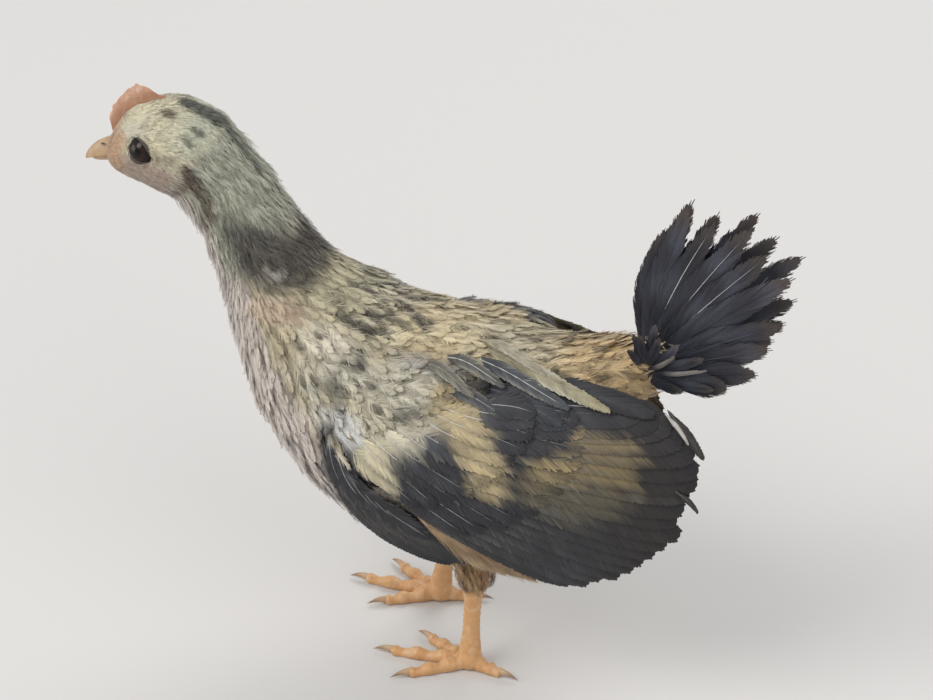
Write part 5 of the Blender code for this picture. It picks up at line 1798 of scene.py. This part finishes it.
def shank_grid(side_name):
    """The shank, with scutes in front and rows of small scales behind."""
    y = SIDES[side_name] * HIP_Y
    top = np.array((HOCK[side_name][0], y, HOCK[side_name][1] + 1.0))
    foot = np.array((ANKLE_X[side_name], y, ANKLE_Z - 1.5))
    length = np.linalg.norm(foot - top)
    ahead = (foot - top) / length
    front = unit(np.cross((0, 1, 0), ahead))
    front = front if front[0] < 0 else -front

    def place(share, turn):
        distance = share * length
        radius = np.interp(share, np.linspace(0, 1, len(SHANK_RADII)), SHANK_RADII)
        facing = math.cos(turn)
        plate = 0.24 * max(0.0, facing - 0.25) ** 0.5 * step_of(distance, SCUTE)
        row = math.sin(turn * 7 + (int(distance / BACK_SCALE) % 2) * math.pi)
        scale = 0.09 * max(0.0, 0.4 - facing) * (step_of(distance, BACK_SCALE) + 0.5 * row)
        outward = front * facing * SHANK_OVAL[0] + np.array((0, math.sin(turn) * SHANK_OVAL[1], 0))
        return top + ahead * distance + outward * (radius + plate + scale)

    return wrapped_grid(150, 56, place)


def toe_line(side_name, toe_name):
    """A toe's line as a function of the share along it, its heading and its length."""
    heading, length = TOES[toe_name]
    turn = math.radians(heading)
    ahead = np.array((-math.cos(turn), SIDES[side_name] * math.sin(turn), 0))
    centre = np.array((ANKLE_X[side_name], SIDES[side_name] * HIP_Y, 0))

    def at(t):
        radius = TOE_RADIUS * (1 - 0.33 * t) + 0.22 * math.cos(6 * math.pi * t)
        rise = radius - 0.35 + 1.2 * max(0, 0.3 - t)
        return centre + ahead * (0.5 + length * t) + np.array((0, 0, rise)), radius

    return at, ahead, length


def toe_grid(side_name, toe_name):
    """A toe with scutes on top, soft pads below and a rounded end, flat where it meets the floor."""
    at, ahead, length = toe_line(side_name, toe_name)
    across = np.cross(ahead, (0, 0, 1))

    def place(share, turn):
        t = share * 1.02
        centre, radius = at(min(t, 1.0))
        cap = math.sqrt(max(0.0, 1 - max(0.0, (share - 0.9) / 0.1) ** 2))
        upward = math.sin(turn)
        plate = 0.2 * max(0.0, upward - 0.1) ** 0.5 * step_of(length * share, TOE_SCUTE)
        pad = 0.10 * max(0.0, -upward) * abs(math.sin(3 * math.pi * share))
        size = (radius + plate + pad) * cap
        point = centre + across * math.cos(turn) * size + np.array((0, 0, upward * size))
        point[2] = max(point[2], 0.0)
        return point

    return wrapped_grid(96, 36, place)


def ball_of_foot(side_name):
    """The pad where the toes meet, flat on the floor."""
    shape = bmesh.new()
    bmesh.ops.create_uvsphere(shape, u_segments=32, v_segments=20, radius=1)
    bmesh.ops.scale(shape, vec=(3.3, 3.1, 3.4), verts=shape.verts[:])
    place = (ANKLE_X[side_name], SIDES[side_name] * HIP_Y, 2.6)
    bmesh.ops.translate(shape, vec=place, verts=shape.verts[:])
    for vert in shape.verts:
        vert.co.z = max(vert.co.z, 0.0)
    return shape


# %% Leg skin
def leg_finish():
    """Scaly leg skin: horny plates with soft, darker seams between them."""
    sockets = {"Subsurface_Weight": 0.15, "Subsurface_Scale": 0.001, "Subsurface_Radius": (1.0, 0.5, 0.3)}
    made, tree, shader = finish("scaled_leg_skin", 0.48, **sockets)
    mottled(tree, shader, 1.5, 4.0, "D4BFAD", 0.4)
    cells = {"feature": "DISTANCE_TO_EDGE"}
    raised(tree, shader, "ShaderNodeTexVoronoi", cells, "Distance", 0.7, 0.3, 0.2)
    return made


LEG = leg_finish()


# %% Legs and claws
def build_leg(side_name):
    """Shank and foot as one piece, melted so that no seam shows."""
    shapes = [shank_grid(side_name), ball_of_foot(side_name)]
    shapes += [toe_grid(side_name, toe_name) for toe_name in TOES]
    mesh = melted(shapes, LEG_VOXEL, 2)
    places, normals = points_of(mesh)
    places[:, 2] = np.maximum(places[:, 2], LEAST_HEIGHT)
    mesh.vertices.foreach_set("co", to_frame(places).ravel())
    height = places[:, 2]
    tint = plain(places, "CB9D6B")
    tint = over(tint, "D3AE84", 0.7 * ramp(clouds(places, 4, 61), 0, 0.9))
    # Darker at the top of the shank: painted shade under the hock's fluff.
    tint = over(tint, "A97A4E", ramp(height, 24, 30) * 0.8)
    # Darker where the toes face the floor, low down: painted shade under them.
    tint = over(tint, "B98A63", ramp(normals[:, 2], -0.3, -0.9) * ramp(height, 3, 1) * 0.7)
    seams = np.abs(clouds(places, 1.6, 62))
    tint = over(tint, "A97A4E", ramp(seams, 0.25, 0.0) * 0.35)
    tinted(mesh, tint)
    leg = link(f"leg_{side_name}", mesh, [LEG])
    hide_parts(f"shank_{side_name}", f"foot_{side_name}")


def build_claw(side_name, toe_name):
    """A claw that starts inside the end of its toe and curves down to a point on the floor."""
    at, ahead, _ = toe_line(side_name, toe_name)
    end, _ = at(1.0)
    across = np.cross(ahead, (0, 0, 1))

    def place(share, turn):
        drop = end[2] * 0.15 + 0.35 * math.sin(math.pi * share) - end[2] * 0.62 * share * share
        size = max(0.05, TOE_RADIUS * 0.55 * (1 - share**1.35))
        centre = end + ahead * (-0.6 + (CLAW_LENGTH + 0.9) * share) + np.array((0, 0, drop))
        point = centre + across * math.cos(turn) * size * 0.8 + np.array((0, 0, math.sin(turn) * size))
        point[2] = max(point[2], LEAST_HEIGHT)
        return point

    def colours(points):
        far = (points - end) @ ahead
        return over(plain(points, "B79A78"), "6B5644", ramp(far, 0.5, 4.5) * 0.8)

    claw = painted(f"nail_{side_name}_{toe_name}", wrapped_grid(28, 20, place), colours, [HORN])
    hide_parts(f"claw_{side_name}_{toe_name}")


for side_name in SIDES:
    build_leg(side_name)
    for toe_name in TOES:
        build_claw(side_name, toe_name)

# %% [markdown]
# ## Fluff over the hocks
# The thigh's feathers end in loose fluff that hangs over the hock like the hem of a trouser leg; its tan
# is darkened to brown by painted shade under the wing, with more painted shade at the hanging tips. Its tufts
# can't be draped over a skin, because they hang free below it, so they are set in rings round the thigh's
# line and pointed down it, each ring a little wider than the leg inside.
# %% Rings of tufts round each hock
TUFT_RINGS = ((9.0, 5.2, 9.5), (6.5, 4.9, 9.5), (4.0, 4.5, 9.0), (1.5, 4.0, 7.5), (0.0, 3.4, 6.0))
TUFTS_IN_RING = 22
TUFT_STATIONS = 4


def build_hock_tufts(side_name):
    """Rings of loose tufts round one hock, as one piece."""
    side = SIDES[side_name]
    draw = np.random.default_rng(160 + (side > 0))
    y = side * HIP_Y
    hock = np.array((HOCK[side_name][0], y, HOCK[side_name][1]))
    down = unit(hock - np.array((THIGH_TOP[0], y, THIGH_TOP[1])))
    across = np.array((0.0, 1.0, 0.0))
    front = np.cross(across, down)
    share = np.linspace(0, 1, TUFT_STATIONS)
    made = []
    for ring, (above, radius, length) in enumerate(TUFT_RINGS):  # mm above the hock, from the line, and long
        for i in range(TUFTS_IN_RING):
            turn = (i + 0.5 * (ring % 2) + draw.uniform(-0.3, 0.3)) / TUFTS_IN_RING * 2 * math.pi
            outward = across * math.cos(turn) + front * math.sin(turn)
            long = length * draw.uniform(0.6, 1.05)
            reach = radius - 0.8 + 1.3 * np.sin(math.pi * share) - 0.9 * share**2 + 0.4 * draw.normal()
            line = hock + down * (long * share - above)[:, None] + outward * reach[:, None]
            sideways = np.repeat(np.cross(down, outward)[None], TUFT_STATIONS, axis=0)
            flat = (0.04 + 0.49 * (side > 0) + 0.40 * turn / 6.3, 0.982 - 0.004 * ring)
            made.append(one_feather(line, sideways, 1.2 * draw.uniform(0.85, 1.15), 0.15, flat, long))
    feathers = gathered(made)
    parts = [barbs(feathers, 18, SOFT_STEPS, HAIR_STYLE, draw), shafts(feathers, 3, 0.07)]

    def paint(at):
        # Tan-brown fluff, darkened by painted shade under the wing.
        tint = plain(at["points"], "A07C56")
        tint = over(tint, "BC9C74", 0.8 * ramp(clouds(at["points"], 5, 95), 0, 0.9))
        # Darker towards the hanging tips: painted shade.
        return over(tint, "6F4E34", 0.6 * ramp(at["share"], 0.5, 1.0))

    piece = feather_mesh(f"hock_tufts_{side_name}", feathers, parts, paint, [DOWN])


for side_name in SIDES:
    build_hock_tufts(side_name)
print("all feathers with the hocks:", sum(COAT_TRIANGLES.values()), "triangles")

# %% [markdown]
# ## Floor, light and camera
# Feathers show their barbs where light grazes them, and their softness where it wraps round. So the lamps
# are square area lamps, large beside so small a bird: a strong one above the left side and ahead, weaker
# ones from the rear and from low ahead, and one from the right that draws a thin rim. The air adds an even
# light, and the floor is pale and matt. A long lens at almost a metre keeps the proportions true.
# %% Studio
LOOKED_AT = (0, 0, 0.08)  # the middle of the bird, where every lamp points, in metres


def studio():
    """A pale matt floor, even air light and four lamps."""
    scene = bpy.context.scene
    scene.view_settings.view_transform = "Standard"
    world = bpy.data.worlds.new("studio_air")
    scene.world = world
    world.use_nodes = True
    world.node_tree.nodes["Background"].inputs["Color"].default_value = (0.86, 0.88, 0.92, 1)
    world.node_tree.nodes["Background"].inputs["Strength"].default_value = 0.65
    shape = bmesh.new()
    bmesh.ops.create_grid(shape, x_segments=1, y_segments=1, size=3)
    mesh = bpy.data.meshes.new("floor")
    shape.to_mesh(mesh)
    shape.free()
    floor = bpy.data.objects.new("floor", mesh)
    scene.collection.objects.link(floor)
    made, _, shader = finish("pale_floor_paint", 0.8)
    shader.inputs["Base Color"].default_value = (*linear("C9C6C2"), 1)
    mesh.materials.append(made)
    for name, place, size, power in (  # place and size in metres, power in watts
        ("key", (-0.7, -0.8, 1.3), 0.9, 13),
        ("fill", (0.9, -0.6, 0.8), 1.0, 5),
        ("front", (-1.4, -0.5, 0.25), 0.9, 7),
        ("rim", (0.2, 1.0, 1.1), 0.8, 8),
    ):
        lamp = bpy.data.lights.new(name, "AREA")
        lamp.size = size
        lamp.energy = power
        light = bpy.data.objects.new(name, lamp)
        scene.collection.objects.link(light)
        light.location = place
        light.rotation_euler = (Vector(LOOKED_AT) - Vector(place)).to_track_quat("-Z", "Y").to_euler()


# %% Camera
CAMERA_TARGET = (0, 0, 85)  # in mm, in the bird's side view
CAMERA_DISTANCE = 0.950
PICTURE_WIDTH = 933  # in pixels
PIXELS_PER_MM = 4.1  # at the target


def camera():
    """A long lens that looks down at the left side, from a little behind."""
    target = Vector(to_frame(CAMERA_TARGET))
    azimuth, elevation = math.radians(18), math.radians(32)
    level = math.cos(elevation)
    outward = Vector((math.sin(azimuth) * level, -math.cos(azimuth) * level, math.sin(elevation)))
    lens = bpy.data.cameras.new("camera")
    lens.sensor_width = 36
    lens.lens = PIXELS_PER_MM * CAMERA_DISTANCE / MM / PICTURE_WIDTH * lens.sensor_width
    lens.shift_x = 6.5 / PICTURE_WIDTH
    lens.clip_start = 0.01
    eye = bpy.data.objects.new("camera", lens)
    bpy.context.scene.collection.objects.link(eye)
    eye.location = target + outward * CAMERA_DISTANCE
    eye.rotation_euler = (-outward).to_track_quat("-Z", "Y").to_euler()
    bpy.context.scene.camera = eye


studio()
camera()
